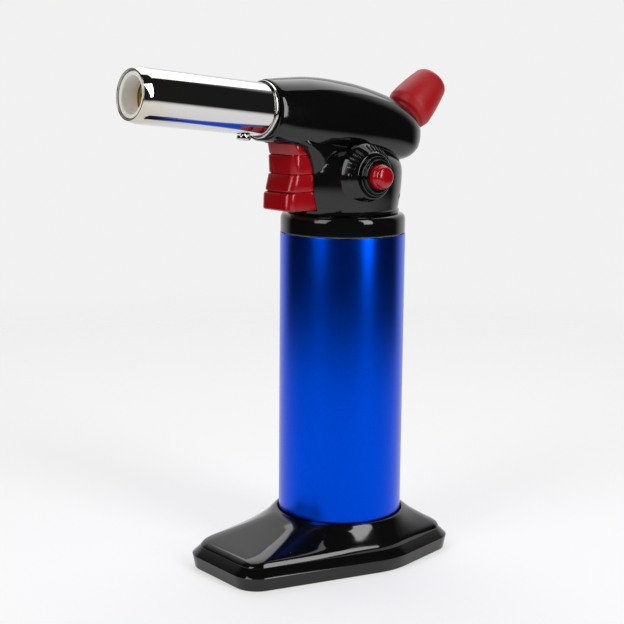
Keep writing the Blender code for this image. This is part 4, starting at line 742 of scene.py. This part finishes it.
def copies_tree():
    """One piece set at every point of a mesh."""
    tree, into, out = geometry_tree("copies_at_points", [
        ("Points", "NodeSocketGeometry", None), ("Piece", "NodeSocketObject", None),
        ("Turn", "NodeSocketVector", (0, 0, 0)), ("Material", "NodeSocketMaterial", None),
    ])
    realise(tree, into, out, set_copies(tree, into, into.outputs["Points"], into.outputs["Turn"]))
    return tree


def ring_tree():
    """A piece repeated round the Z axis, from a first angle by equal steps."""
    tree, into, out = geometry_tree("repeats_round_axis", [
        ("Piece", "NodeSocketObject", None), ("Count", "NodeSocketInt", 6), ("First", "NodeSocketFloat", 0.0),
        ("Step", "NodeSocketFloat", 0.2), ("Radius", "NodeSocketFloat", 1.0),
        ("Height", "NodeSocketFloat", 0.0), ("Material", "NodeSocketMaterial", None),
    ])
    points = tree.nodes.new("GeometryNodePoints")
    index = tree.nodes.new("GeometryNodeInputIndex")
    angle = math_node(tree, "MULTIPLY_ADD", index.outputs[0], into.outputs["Step"])
    tree.links.new(into.outputs["First"], angle.node.inputs[2])
    across = math_node(tree, "MULTIPLY", math_node(tree, "COSINE", angle), into.outputs["Radius"])
    along = math_node(tree, "MULTIPLY", math_node(tree, "SINE", angle), into.outputs["Radius"])
    position = add_node(tree, "ShaderNodeCombineXYZ", X=across, Y=along, Z=into.outputs["Height"])
    turn = add_node(tree, "ShaderNodeCombineXYZ", Z=angle)
    tree.links.new(into.outputs["Count"], points.inputs["Count"])
    tree.links.new(position.outputs[0], points.inputs["Position"])
    realise(tree, into, out, set_copies(tree, into, points.outputs[0], turn.outputs[0]))
    return tree


def run_tree(tree, points, **values):
    """The mesh a geometry tree makes from a helper's points, as a new helper."""
    mesh = bpy.data.meshes.new("points")
    mesh.from_pydata(points, [], [])
    obj = bpy.data.objects.new("points", mesh)
    bpy.context.scene.collection.objects.link(obj)
    modifier = obj.modifiers.new("tree", "NODES")
    modifier.node_group = tree
    for item in tree.interface.items_tree:
        if item.in_out == "INPUT" and item.name in values:
            modifier[item.identifier] = values[item.name]
    baked = evaluated_mesh(obj)
    obj.modifiers.clear()
    obj.data = baked
    return obj


def pan_screw(radius, head, length, head_height, cross):
    """A pan-head screw with a cross recess: its head starts at Z = 0 and its shank points up."""
    profile = filleted([(0, 0, 0), (head - 0.1, 0.12, 0.7 * head_height), (head, 0.8 * head_height, 0.2),
                        (head - 0.1, head_height, 0.05), (radius, head_height, 0), (radius, length - 0.6, 0),
                        (0.5 * radius, length, 0), (0, length, 0)])
    screw = helper(revolve(profile, 40))
    arms = [cube((-cross, -0.22 * cross, -1), (cross, 0.22 * cross, 0.55 * head_height)),
            cube((-0.22 * cross, -cross, -1), (0.22 * cross, cross, 0.55 * head_height))]
    return combine(screw, [helper(arm) for arm in arms], "DIFFERENCE")


def build_stand_screws():
    screw = pan_screw(1.2, 2.6, 6.3, 1.0, 1.6)
    points = [(x, y, 0.3) for x, y in STAND_SCREWS]
    made = run_tree(copies_tree(), points, Piece=screw, Material=MATERIALS["zinc_steel"])
    bpy.data.objects.remove(screw)
    nodes = [f"stand_screw_{i}" for i in range(1, 5)]
    return finish_piece(made, "stand_screws", "torch", "zinc_steel", *nodes)


# ---------------------------------------------------------------- tank
def build_sleeve(settings):
    edge = settings.rolled_edge
    profile = filleted([(24.2, 7.3, 0.2), (SLEEVE_RADIUS, 7.3, edge), (SLEEVE_RADIUS, SLEEVE_TOP, edge),
                        (24.2, SLEEVE_TOP, 0.2)])
    return finish_piece(revolve(profile, 192), "tank_blue_sleeve", "torch", "sleeve_blue", "tank_sleeve")


def build_collar():
    profile = filleted([(20.3, 132.0, 0.2), (24.9, 132.0, 0.3), (24.9, 139.6, 2.7), (20.3, 139.6, 0.2)], 12)
    return finish_piece(revolve(profile, 160), "neck_collar", "torch", "head_plastic", "head_collar")


# ---------------------------------------------------------------- head
HOOD_ROWS = (
    (-39.9, 180.3, 11.35, 11.3, 11.35, 0.10), (-39.3, 180.25, 11.75, 11.55, 11.7, 0.10),
    (-37.9, 180.1, 12.15, 11.8, 12.2, 0.095), (-34, 179.8, 12.75, 12.35, 13.4, 0.08),
    (-28, 179.2, 13.6, 13.2, 14.4, 0.06), (-22, 178.6, 14.4, 14.0, 15.0, 0.04),
    (-14, 177.8, 15.1, 14.5, 15.3, 0.02), (-6, 176.9, 15.5, 14.5, 15.4, 0), (2, 175.9, 15.6, 14.3, 15.1, 0),
    (10, 174.8, 15.5, 13.5, 14.6, 0), (17, 173.7, 15.1, 12.6, 14.1, 0), (23, 172.6, 14.2, 11.5, 13.3, 0),
    (28, 171.7, 12.6, 9.6, 11.6, 0), (32, 171.0, 10.0, 7.2, 8.8, 0), (34.8, 170.6, 6.9, 4.8, 5.6, 0),
    (36.2, 170.4, 3.6, 2.6, 2.9, 0),
)
HOOD_BELOW = 3.0
NECK_ROWS = (
    (139.9, 22.0, 1.0), (140.15, 22.3, 1.0), (141.15, 22.3, 1.0), (141.5, 21.9, 1.03), (143, 22.1, 1.05),
    (146.5, 22.6, 1.06), (150, 23.0, 1.065), (154, 23.25, 1.065), (157.5, 23.1, 1.075), (160, 22.3, 1.08),
    (162, 20.8, 1.08), (163.6, 18.9, 1.08), (164.9, 16.6, 1.08), (165.9, 13.5, 1.08), (166.4, 9.0, 1.08),
)
CHEEK_ROWS = (
    (146, -19.0, 9.8), (150, -21.6, 11.2), (154, -22.6, 12.2), (158.4, -23.5, 12.9), (161, -24.4, 13.1),
    (163, -25.4, 13.2), (165, -27.0, 13.1), (166.4, -28.7, 12.8), (167.8, -30.8, 12.4), (170.5, -32.5, 11.8),
)
NECK_HOLLOW = ((138.9, 19.5), (139.9, 19.5), (151.9, 20.8), (157.9, 20.8), (160.9, 20.0), (163.1, 18.2),
               (164.3, 12.0), (166.3, 9.5), (170.9, 9.5))
ARROWS = (
    ((-29.8, 186.6), (-32.2, 183.9), (-29.7, 181.2), (-29.7, 180.2)),
    ((-25.2, 186.4), (-28.1, 183.4), (-25.0, 179.9), (-25.0, 179.2)),
)


def hood_ring(row, inset, steps=120):
    """A ring round the hood, squarer below than above."""
    x, height, half_width, up, down, lean = row
    points = []
    for i in range(steps):
        angle = 2 * math.pi * (i + 0.5) / steps
        power = 1.0 if angle < math.pi else 2.0 / HOOD_BELOW
        reach = (up if angle < math.pi else down) - inset
        side = (half_width - inset) * math.copysign(abs(math.cos(angle)) ** power, math.cos(angle))
        rise = reach * math.copysign(abs(math.sin(angle)) ** power, math.sin(angle))
        points.append((x + rise * math.sin(lean), side, height + rise * math.cos(lean)))
    return points


def neck_ring(height, radius, stretch, steps=112):
    """A level ring round the neck, drawn out towards the trigger."""
    points = []
    for i in range(steps):
        angle = 2 * math.pi * i / steps
        x = radius * math.cos(angle)
        points.append((x * stretch if x < 0 else x, radius * math.sin(angle), height))
    return points


def cheek_ring(height, front, half_width, corner=5.0, steps=8):
    """A level ring of the web that runs from the neck's front up into the hood."""
    points = [(-8.0, half_width, height)]
    for sign in (1, -1):
        for k in range(steps + 1):
            angle = 0.5 * math.pi * (k / steps if sign > 0 else 1 - k / steps)
            x = front + corner * (1 - math.sin(angle))
            points.append((x, sign * (half_width - corner * (1 - math.cos(angle))), height))
    return points + [(-8.0, -half_width, height)]


def hood_side(x, z):
    """How far the hood's left side is from the middle plane at a point."""
    for first, second in zip(HOOD_ROWS, HOOD_ROWS[1:]):
        if first[0] <= x <= second[0]:
            share = (x - first[0]) / (second[0] - first[0])
            row = [a + (b - a) * share for a, b in zip(first, second)]
            rise = (z - row[1]) / (row[3] if z > row[1] else row[4])
            power = 2.0 if z > row[1] else HOOD_BELOW
            return row[2] * (1 - min(abs(rise), 1.0) ** power) ** (1 / power)
    return 0.0


def arrow_cutter(corners, half):
    """A thin blade that follows the corners of an arrow and leaves a shallow groove in the hood's side."""
    stops = [Vector(corner) for corner in corners]
    line = []
    for a, b in zip(stops, stops[1:]):
        line += [a.lerp(b, k / 8) for k in range(8)]
    line.append(stops[-1])
    rings = []
    for i, here in enumerate(line):
        ahead = (line[min(i + 1, len(line) - 1)] - line[max(i - 1, 0)]).normalized()
        side = Vector((-ahead.y, ahead.x)) * half
        deep = 0.32 - hood_side(here.x, here.y)
        left, right = here + side, here - side
        rings.append([(left.x, deep - 2.0, left.y), (right.x, deep - 2.0, right.y), (here.x, deep, here.y)])
    return helper(loft(rings))


def head_hollow():
    rows = [row for row in catmull(HOOD_ROWS, 2) if -36.2 < row[0] < 30.0]
    hood = helper(loft([hood_ring(row, 2.2, 64) for row in rows]))
    neck = helper(revolve([(0.0, NECK_HOLLOW[0][0])] + [(r, z) for z, r in NECK_HOLLOW] + [(0.0, 170.9)], 64))
    return [hood, neck]


def shell_ribs(side):
    spans = [(-19.5, -16.7, 9.25, 11.8, 144.0, 162.0), (4.4, 6.6, 4.8, 21.0, 156.5, 160.5)]
    if side > 0:
        spans.append((-8.4, -6.4, 4.8, 21.0, 156.5, 160.5))
    ribs = []
    for low_x, high_x, near, far, low_z, high_z in spans:
        left, right = sorted((side * near, side * far))
        ribs.append(helper(cube((low_x, left, low_z), (high_x, right, high_z))))
    return ribs


def head_cutters():
    """The ways through the head for the burner, trigger, knob, spindle, regulator and side button."""
    start = burner_frame() @ Matrix.Translation((0, 0, 20.7))
    knob = knob_frame()
    return [
        peg(10.38, 0.0, 40.0, 96, start),
        helper(cube((-40, -9.25, 141.65), (-9.55, 9.25, 168.35))),
        peg(9.9, -3.5, 20.0, 96, knob),
        peg(5.3, -27.0, -12.2, 48, knob),
        peg(2.3, -13.0, 5.0, 32, knob),
        peg(2.35, 18.0, 27.0, 40, safety_frame()),
    ]


def dial_boss():
    """The cone that carries the dial."""
    profile = filleted([(0, 16.5, 0), (12.5, 16.5, 0), (12.5, 18.3, 0.5), (8.7, 23.6, 0.5), (0, 23.6, 0)])
    return helper(revolve(profile), dial_frame())


def screw_way(side, x, z, reach):
    if side < 0:
        return peg(1.4, -1.0, 6.3, 32, Matrix.Translation((x, 0, z)) @ Matrix.Rotation(
            math.pi / 2, 4, "X"))
    seat = reach - 2.6
    way = [(0.0, -1.0), (1.4, -1.0), (1.4, seat - 0.3), (2.8, seat - 0.3), (2.8, 30.0), (0.0, 30.0)]
    return helper(revolve(way, 40), Matrix.Translation((x, 0, z)) @ Matrix.Rotation(-math.pi / 2, 4, "X"))


def build_head_shell(settings, side, name, node):
    shell = helper(loft([hood_ring(row, 0.0) for row in catmull(HOOD_ROWS, 3)]))
    neck = helper(loft([neck_ring(*row) for row in NECK_ROWS[:4] + tuple(catmull(NECK_ROWS[4:], 3))]))
    cheek = helper(loft([cheek_ring(*row) for row in catmull(CHEEK_ROWS, 3)]))
    combine(shell, [neck, cheek], "UNION")
    combine(shell, head_hollow(), "DIFFERENCE")
    combine(shell, shell_ribs(side), "UNION")
    if side < 0:
        combine(shell, [dial_boss()], "UNION")
        combine(shell, [peg(6.9, 0.0, 30.0, 64, dial_frame())], "DIFFERENCE")
    for x, z, reach in HEAD_SCREWS:
        turn = Matrix.Translation((x, 0, z)) @ Matrix.Rotation(-side * math.pi / 2, 4, "X")
        combine(shell, [peg(2.5, 0.0, reach, 40, turn)], "UNION")
    cutters = head_cutters() + [screw_way(side, x, z, reach) for x, z, reach in HEAD_SCREWS]
    if side < 0:
        cutters += [arrow_cutter(arrow, settings.groove) for arrow in ARROWS]
    combine(shell, cutters, "DIFFERENCE")
    near, far = sorted((side * settings.seam / 2, side * 60.0))
    combine(shell, [helper(cube((-120, near, 100), (80, far, 220)))], "INTERSECT")
    return finish_piece(shell, name, "torch", "head_plastic", node)


def on_dial_cone(turn):
    """The place of a mark on the dial's cone, turned round the dial."""
    out = Matrix.Translation((DIAL_SCALE_RADIUS, 0, DIAL_SCALE_HEIGHT))
    return Matrix.Rotation(turn, 4, "Z") @ out @ Matrix.Rotation(DIAL_CONE_SLOPE, 4, "Y")


def build_dial_marks(settings):
    """Raised marks round the dial's cone, a pointer between them and a flat mark at the side."""
    marks = []
    step = math.radians(9.5)
    pointer = math.radians(109.0)
    tree = ring_tree()
    mark = helper(cube((-1.9, -0.5 * settings.tick_width, -0.3), (1.9, 0.5 * settings.tick_width, 0.5), 0.2))
    mark.data.transform(Matrix.Rotation(DIAL_CONE_SLOPE, 4, "Y"))
    for sign, extra in ((-1, 3), (1, 0)):
        first = pointer + sign * 1.5 * step
        marks.append(run_tree(tree, [(0, 0, 0)], Piece=mark, Count=settings.tick_count + extra, First=first,
                              Step=sign * step, Radius=DIAL_SCALE_RADIUS, Height=DIAL_SCALE_HEIGHT,
                              Material=MATERIALS["head_plastic"]))
    bpy.data.objects.remove(mark)
    wedge = bmesh.new()
    low = [wedge.verts.new(p) for p in ((-2.6, 0.0, -0.3), (2.4, -1.35, -0.3), (2.4, 1.35, -0.3))]
    high = [wedge.verts.new(p) for p in ((-2.2, 0.0, 0.55), (2.1, -1.05, 0.55), (2.1, 1.05, 0.55))]
    join_rings(wedge, low, high, 3)
    wedge.faces.new(low)
    wedge.faces.new(high)
    marks.append(helper(wedge, on_dial_cone(pointer)))
    flat = cube((-0.85, -1.6, -0.3), (0.85, 1.6, 0.4), 0.25)
    marks.append(helper(flat, on_dial_cone(math.radians(181.0))))
    whole = merged(marks)
    return finish_piece(whole, "dial_scale", "torch", "head_plastic",
                        place=dial_frame(), angle=40.0)


def merged(parts):
    """Several helpers as one, side by side."""
    bm = bmesh.new()
    for part in parts:
        bm.from_mesh(part.data)
        bpy.data.objects.remove(part)
    return helper(bm)


def build_head_screws():
    screw = pan_screw(1.1, 2.2, 12.0, 1.6, 1.35)
    screw.data.transform(Matrix.Rotation(math.pi / 2, 4, "X"))
    points = [(x, reach - 1.0, z) for x, z, reach in HEAD_SCREWS]
    made = run_tree(copies_tree(), points, Piece=screw, Material=MATERIALS["zinc_steel"])
    bpy.data.objects.remove(screw)
    nodes = [f"head_screw_{i}" for i in range(1, 4)]
    return finish_piece(made, "head_screws", "torch", "zinc_steel", *nodes)


# ---------------------------------------------------------------- burner
def build_burner_tube():
    profile = filleted([(9.3, 21.0, 0.1), (9.3, 94.1, 0.2), (8.65, 95.1, 0.2), (8.65, BURNER_LENGTH, 0.22),
                        (9.25, BURNER_LENGTH, 0.25), (BURNER_RADIUS, 95.3, 0.9), (BURNER_RADIUS, 21.0, 0.1)])
    tube = helper(revolve(profile, 160), burner_frame())
    hole = Matrix.Translation(burner_point(TUBE_SCREW_PLACE)) @ Matrix.Rotation(math.pi + BURNER_TILT, 4, "Y")
    combine(tube, [peg(1.5, 5.0, 15.0, 32, hole)], "DIFFERENCE")
    return finish_piece(tube, "burner_chrome_tube", "torch", "chrome_plate", "burner_tube")


def build_tube_flange():
    profile = filleted([(10.2, 40.4, 0.1), (10.9, 40.4, 0.3), (10.9, 41.7, 0.4), (10.2, 41.7, 0.15)], 6)
    return finish_piece(revolve(profile, 128), "tube_collar_ring", "torch",
                        "chrome_plate", "tube_flange", place=burner_frame())


def build_tube_screw():
    screw = pan_screw(1.2, 2.75, 5.0, 1.9, 1.75)
    turn = Matrix.Translation(burner_point(TUBE_SCREW_PLACE, -12.28)) @ Matrix.Rotation(BURNER_TILT, 4, "Y")
    return finish_piece(screw, "tube_cross_screw", "torch", "chrome_plate",
                        "tube_screw", place=turn)


def build_liner():
    profile = filleted([(6.6, 91.2, 0.1), (9.0, 91.2, 0.1), (9.0, 93.8, 0.2), (8.35, 94.5, 0.2),
                        (8.35, 98.0, 0.4), (6.8, 98.0, 0.9)], 5)
    return finish_piece(revolve(profile, 128), "ceramic_mouth_liner", "torch",
                        "white_ceramic", "ceramic_liner", place=burner_frame())


def build_burner_disc(settings):
    disc = helper(revolve(filleted([(0, 83.9, 0), (8.8, 83.9, 0.3), (8.8, 90.9, 0.3), (0, 90.9, 0)])))
    pin = peg(settings.hole_radius, 82.0, 92.0, 24)
    pins = run_tree(ring_tree(), [(0, 0, 0)], Piece=pin, Count=settings.holes, First=0.24,
                    Step=2 * math.pi / settings.holes, Radius=4.4, Height=0.0,
                    Material=MATERIALS["brass_metal"])
    notch = peg(1.2, 82.0, 92.0, 24, Matrix.Translation((7.8, 0, 0)))
    combine(disc, [pins, notch, pin], "DIFFERENCE")
    return finish_piece(disc, "perforated_flame_disc", "torch", "brass_metal",
                        "burner_disc", place=burner_frame())


# ---------------------------------------------------------------- controls
TRIGGER_ROWS = (
    (142.0, 33.85, 8.5), (142.15, 34.35, 8.8), (142.6, 34.65, 8.9), (147.9, 34.45, 8.9),
    (148.5, 34.15, 8.87), (148.85, 33.55, 8.75), (149.05, 32.75, 8.5), (149.3, 33.05, 8.5),
    (149.45, 33.50, 8.75), (149.9, 33.60, 8.88), (155.3, 32.20, 8.9), (155.65, 31.95, 8.8),
    (155.8, 31.45, 8.52), (156.05, 31.45, 8.52), (156.2, 31.75, 8.8), (156.6, 31.80, 8.9),
    (162.5, 32.15, 8.9), (162.9, 31.95, 8.8), (163.05, 31.50, 8.52), (163.3, 31.45, 8.52),
    (163.45, 31.75, 8.8), (163.8, 31.85, 8.9), (167.4, 32.60, 8.88), (167.85, 32.35, 8.75),
    (168.0, 31.85, 8.5),
)
TRIGGER_BACK = -14.4


def trigger_ring(height, front, side, corner=3.2, steps=9):
    """A level ring round the trigger, its two front corners rounded."""
    points = []
    for sign in (-1, 1):
        centre = Vector((-front + corner, sign * (side - corner)))
        turn = range(steps + 1) if sign < 0 else range(steps, -1, -1)
        for k in turn:
            angle = 0.5 * math.pi * (1 - k / steps)
            out = Vector((-math.cos(angle), sign * math.sin(angle))) * corner
            points.append((*(centre + out), height))
    return points + [(TRIGGER_BACK, side, height), (TRIGGER_BACK, -side, height)]


def build_trigger():
    body = helper(loft([trigger_ring(*row) for row in TRIGGER_ROWS]))
    shoulder = cube((-16.4, -10.4, 144.0), (TRIGGER_BACK, 10.4, 161.5), 0.25)
    combine(body, [helper(shoulder)], "UNION")
    combine(body, [helper(cube((-28.8, -6.2, 145.2), (1.0, 6.2, 165.8)))], "DIFFERENCE")
    combine(body, [helper(cube((-15.9, 6.0, 142.4), (-7.1, 8.5, 144.4)))], "UNION")
    return finish_piece(body, "red_trigger", "trigger_body", "red_gloss", "trigger",
                        angle=28.0)


def build_knob():
    profile = [(0.0, -3.2)] + filleted([
        (0, -3.2, 0), (7.0, -3.2, 0.3), (7.6, -1.9, 0.4), (8.7, -1.0, 0.5), (9.62, 2.0, 0.8), (9.4, 5.0, 1.3),
        (8.85, 9.5, 2.0), (8.0, 14.0, 2.0), (6.95, 18.7, 2.7), (3.0, 19.25, 1.5), (0, 19.3, 0)], 8)[1:]
    knob = helper(revolve(profile, 128), knob_frame())
    combine(knob, [peg(2.1, -4.2, 8.3, 32, knob_frame())], "DIFFERENCE")
    return finish_piece(knob, "red_gas_knob", "knob_body", "red_satin", "gas_knob")


def build_air_dial():
    profile = filleted([
        (0, 15.0, 0), (7.5, 15.0, 0.15), (7.5, 16.2, 0.15), (6.55, 16.2, 0), (6.55, 23.9, 0),
        (7.7, 23.9, 0.15), (7.7, 25.0, 0.4), (6.6, 25.05, 0.12), (6.5, 26.0, 0.4), (5.1, 26.0, 0.2),
        (5.1, 15.9, 0), (0, 15.9, 0)], 6)
    return finish_piece(revolve(profile, 112), "black_air_dial", "dial_body",
                        "head_plastic", "air_dial", place=dial_frame())


def build_lock_button():
    profile = filleted([
        (0, 20.1, 0), (4.75, 20.1, 0.3), (4.75, 27.75, 0.35), (4.55, 28.1, 0.15), (4.35, 28.35, 0.1),
        (4.3, 28.55, 0.15), (4.25, 29.2, 0.5), (3.6, 30.1, 0.6), (2.0, 30.55, 0.8), (0, 30.6, 0)], 6)
    return finish_piece(revolve(profile, 96), "red_lock_button", "lock_body",
                        "red_gloss", "lock_button", place=dial_frame())


def build_safety_button():
    low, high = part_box("safety_button")
    tip = high.x / MM - AXIS_X
    inner = low.x / MM - AXIS_X
    profile = filleted([
        (0, inner, 0), (3.2, inner, 0.15), (3.2, inner + 1.3, 0.15), (2.0, inner + 1.3, 0),
        (2.0, tip - 0.9, 0.3), (1.75, tip - 0.15, 0.5), (0.9, tip - 0.02, 0.3), (0, tip, 0)], 5)
    return finish_piece(revolve(profile, 64), "red_side_button", "safety_body",
                        "red_gloss", "safety_button", place=safety_frame())


# ---------------------------------------------------------------- stage
CAMERA_AT = Vector((-354.66, -420.31, 195.18))
CAMERA_LOOK = Vector((0.61874, 0.76641, -0.17253))
CAMERA_RIGHT = Vector((0.77904, -0.62691, 0.00904))
CAMERA_LENS = 79.76


def in_frame(point):
    return (Vector(point) + Vector((AXIS_X, 0, 0))) * MM


def add_camera():
    up = CAMERA_RIGHT.cross(CAMERA_LOOK).normalized()
    right = CAMERA_LOOK.cross(up).normalized()
    turn = Matrix((right, up, -CAMERA_LOOK.normalized())).transposed()
    camera = bpy.data.cameras.new("camera")
    camera.lens = CAMERA_LENS
    camera.sensor_width = 36.0
    camera.clip_start = 0.01
    obj = bpy.data.objects.new("camera", camera)
    obj.matrix_world = Matrix.Translation(in_frame(CAMERA_AT)) @ turn.to_4x4()
    bpy.context.scene.collection.objects.link(obj)
    bpy.context.scene.camera = obj


def view_direction(turn, rise=0.0):
    """A level direction from the tank towards a place turned to the right of the camera, and raised."""
    back = -CAMERA_LOOK
    angle = math.atan2(back.y, back.x) + math.radians(turn)
    rise = math.radians(rise)
    return Vector((math.cos(angle) * math.cos(rise), math.sin(angle) * math.cos(rise), math.sin(rise)))


def softbox(name, turn, rise, distance, width, height, strength):
    """A rectangular light that faces the torch."""
    light = bpy.data.lights.new(name, "AREA")
    light.shape = "RECTANGLE"
    light.size = width
    light.size_y = height
    light.energy = strength
    obj = bpy.data.objects.new(name, light)
    target = in_frame((0, 0, 95))
    place = target + view_direction(turn, rise) * distance
    obj.location = place
    obj.rotation_euler = (place - target).to_track_quat("Z", "Y").to_euler()
    bpy.context.scene.collection.objects.link(obj)


def add_floor(settings):
    """A round sheet of pale paper under the torch that fades into the backdrop."""
    bm = bmesh.new()
    bmesh.ops.create_circle(bm, cap_ends=True, segments=96, radius=settings.floor_radius)
    mesh = bpy.data.meshes.new("floor")
    bm.to_mesh(mesh)
    bm.free()
    mesh.transform(Matrix.Translation((0, 0, -0.0001)))
    obj = bpy.data.objects.new("floor", mesh)
    bpy.context.scene.collection.objects.link(obj)
    material, tree, node, where = shader("pale_paper", (0.42, 0.42, 0.43), 0.9)
    grain = group_node(tree, "grain", Vector=where, Scale=220.0, Stretch=1.0)
    bump(tree, node, grain.outputs["Height"], 0.03, 0.0001)
    node.inputs["Emission Color"].default_value = (1, 1, 1, 1)
    node.inputs["Emission Strength"].default_value = settings.floor_glow
    far = add_node(tree, "ShaderNodeVectorMath", {"operation": "LENGTH"})
    tree.links.new(where, far.inputs[0])
    reach = settings.floor_radius
    fade = spread(tree, far.outputs["Value"], 0.42 * reach, 0.98 * reach, 1.0, 0.0)
    tree.links.new(fade, node.inputs["Alpha"])
    mesh.materials.append(material)


def add_world(settings):
    """A pale backdrop to look at. What lights and mirrors in the torch is dark except behind it."""
    world = bpy.data.worlds.new("studio")
    world.use_nodes = True
    tree = world.node_tree
    background = tree.nodes["Background"]
    where = tree.nodes.new("ShaderNodeTexCoord").outputs["Generated"]
    behind = add_node(tree, "ShaderNodeVectorMath", {"operation": "DOT_PRODUCT"})
    tree.links.new(where, behind.inputs[0])
    behind.inputs[1].default_value = (CAMERA_LOOK.x, CAMERA_LOOK.y, 0.1)
    light = spread(tree, behind.outputs["Value"], 0.30, 0.72, settings.surround, settings.backdrop)
    seen = tree.nodes.new("ShaderNodeLightPath").outputs["Is Camera Ray"]
    pale = (settings.backdrop,) * 3
    tree.links.new(mix_colour(tree, seen, light, pale), background.inputs["Color"])
    bpy.context.scene.world = world


# ---------------------------------------------------------------- operators
class TORCH_OT_stand(bpy.types.Operator):
    """Build the stand, its plate and its screws"""
    bl_idname = "torch.stand"
    bl_label = "Stand"

    def execute(self, context):
        build_stand_shell(context.scene.torch_stand)
        build_stand_plate()
        build_stand_screws()
        return {"FINISHED"}


class TORCH_OT_tank(bpy.types.Operator):
    """Build the tank's sleeve and the collar above it"""
    bl_idname = "torch.tank"
    bl_label = "Tank"

    def execute(self, context):
        build_sleeve(context.scene.torch_tank)
        build_collar()
        return {"FINISHED"}


class TORCH_OT_head(bpy.types.Operator):
    """Build the two shells of the head, the dial's scale and the head screws"""
    bl_idname = "torch.head"
    bl_label = "Head"

    def execute(self, context):
        settings = context.scene.torch_head
        build_head_shell(settings, -1, "head_left", "head_shell_left")
        build_head_shell(settings, 1, "head_right", "head_shell_right")
        build_dial_marks(settings)
        build_head_screws()
        return {"FINISHED"}


class TORCH_OT_burner(bpy.types.Operator):
    """Build the burner's tube, ring, screw, liner and flame disc"""
    bl_idname = "torch.burner"
    bl_label = "Burner"

    def execute(self, context):
        build_burner_tube()
        build_tube_flange()
        build_tube_screw()
        build_liner()
        build_burner_disc(context.scene.torch_burner)
        return {"FINISHED"}


class TORCH_OT_controls(bpy.types.Operator):
    """Build the trigger, gas knob, air dial and buttons"""
    bl_idname = "torch.controls"
    bl_label = "Controls"

    def execute(self, context):
        build_trigger()
        build_knob()
        build_air_dial()
        build_lock_button()
        build_safety_button()
        return {"FINISHED"}


class TORCH_OT_stage(bpy.types.Operator):
    """Set the camera, the floor and the studio lights"""
    bl_idname = "torch.stage"
    bl_label = "Stage"

    def execute(self, context):
        settings = context.scene.torch_stage
        add_camera()
        add_floor(settings)
        add_world(settings)
        softbox("key_right", 46.0, 26.0, 0.85, 0.26, 0.75, settings.key)
        softbox("fill_left", -42.0, 28.0, 0.90, 0.36, 0.75, settings.fill)
        softbox("overhead", 180.0, 62.0, 0.80, 0.9, 0.7, settings.overhead)
        context.scene.view_settings.view_transform = "Standard"
        return {"FINISHED"}


class TORCH_PT_panel(bpy.types.Panel):
    """Lists the torch's pieces and their settings"""
    bl_idname = "TORCH_PT_panel"
    bl_label = "Table torch"
    bl_space_type = "VIEW_3D"
    bl_region_type = "UI"
    bl_category = "Torch"

    def draw(self, context):
        for _, prop, operator in STEPS:
            column = self.layout.column(align=True)
            column.operator(operator)
            group = getattr(context.scene, prop)
            for name in group.__annotations__:
                column.prop(group, name)


STEPS = (
    (StandSettings, "torch_stand", "torch.stand"),
    (TankSettings, "torch_tank", "torch.tank"),
    (HeadSettings, "torch_head", "torch.head"),
    (BurnerSettings, "torch_burner", "torch.burner"),
    (ControlSettings, "torch_controls", "torch.controls"),
    (StageSettings, "torch_stage", "torch.stage"),
)
OPERATORS = (TORCH_OT_stand, TORCH_OT_tank, TORCH_OT_head, TORCH_OT_burner, TORCH_OT_controls, TORCH_OT_stage)
CLASSES = tuple(step[0] for step in STEPS) + OPERATORS + (TORCH_PT_panel,)


def register():
    for cls in CLASSES:
        bpy.utils.register_class(cls)
    for group, prop, _ in STEPS:
        setattr(bpy.types.Scene, prop, PointerProperty(type=group))


def unregister():
    for _, prop, _ in STEPS:
        delattr(bpy.types.Scene, prop)
    for cls in reversed(CLASSES):
        bpy.utils.unregister_class(cls)


def main():
    register()
    make_materials(bpy.context.scene)
    dress_frame_nodes()
    for _, _, operator in STEPS:
        group, name = operator.split(".")
        getattr(getattr(bpy.ops, group), name)()


if __name__ == "__main__":
    main()
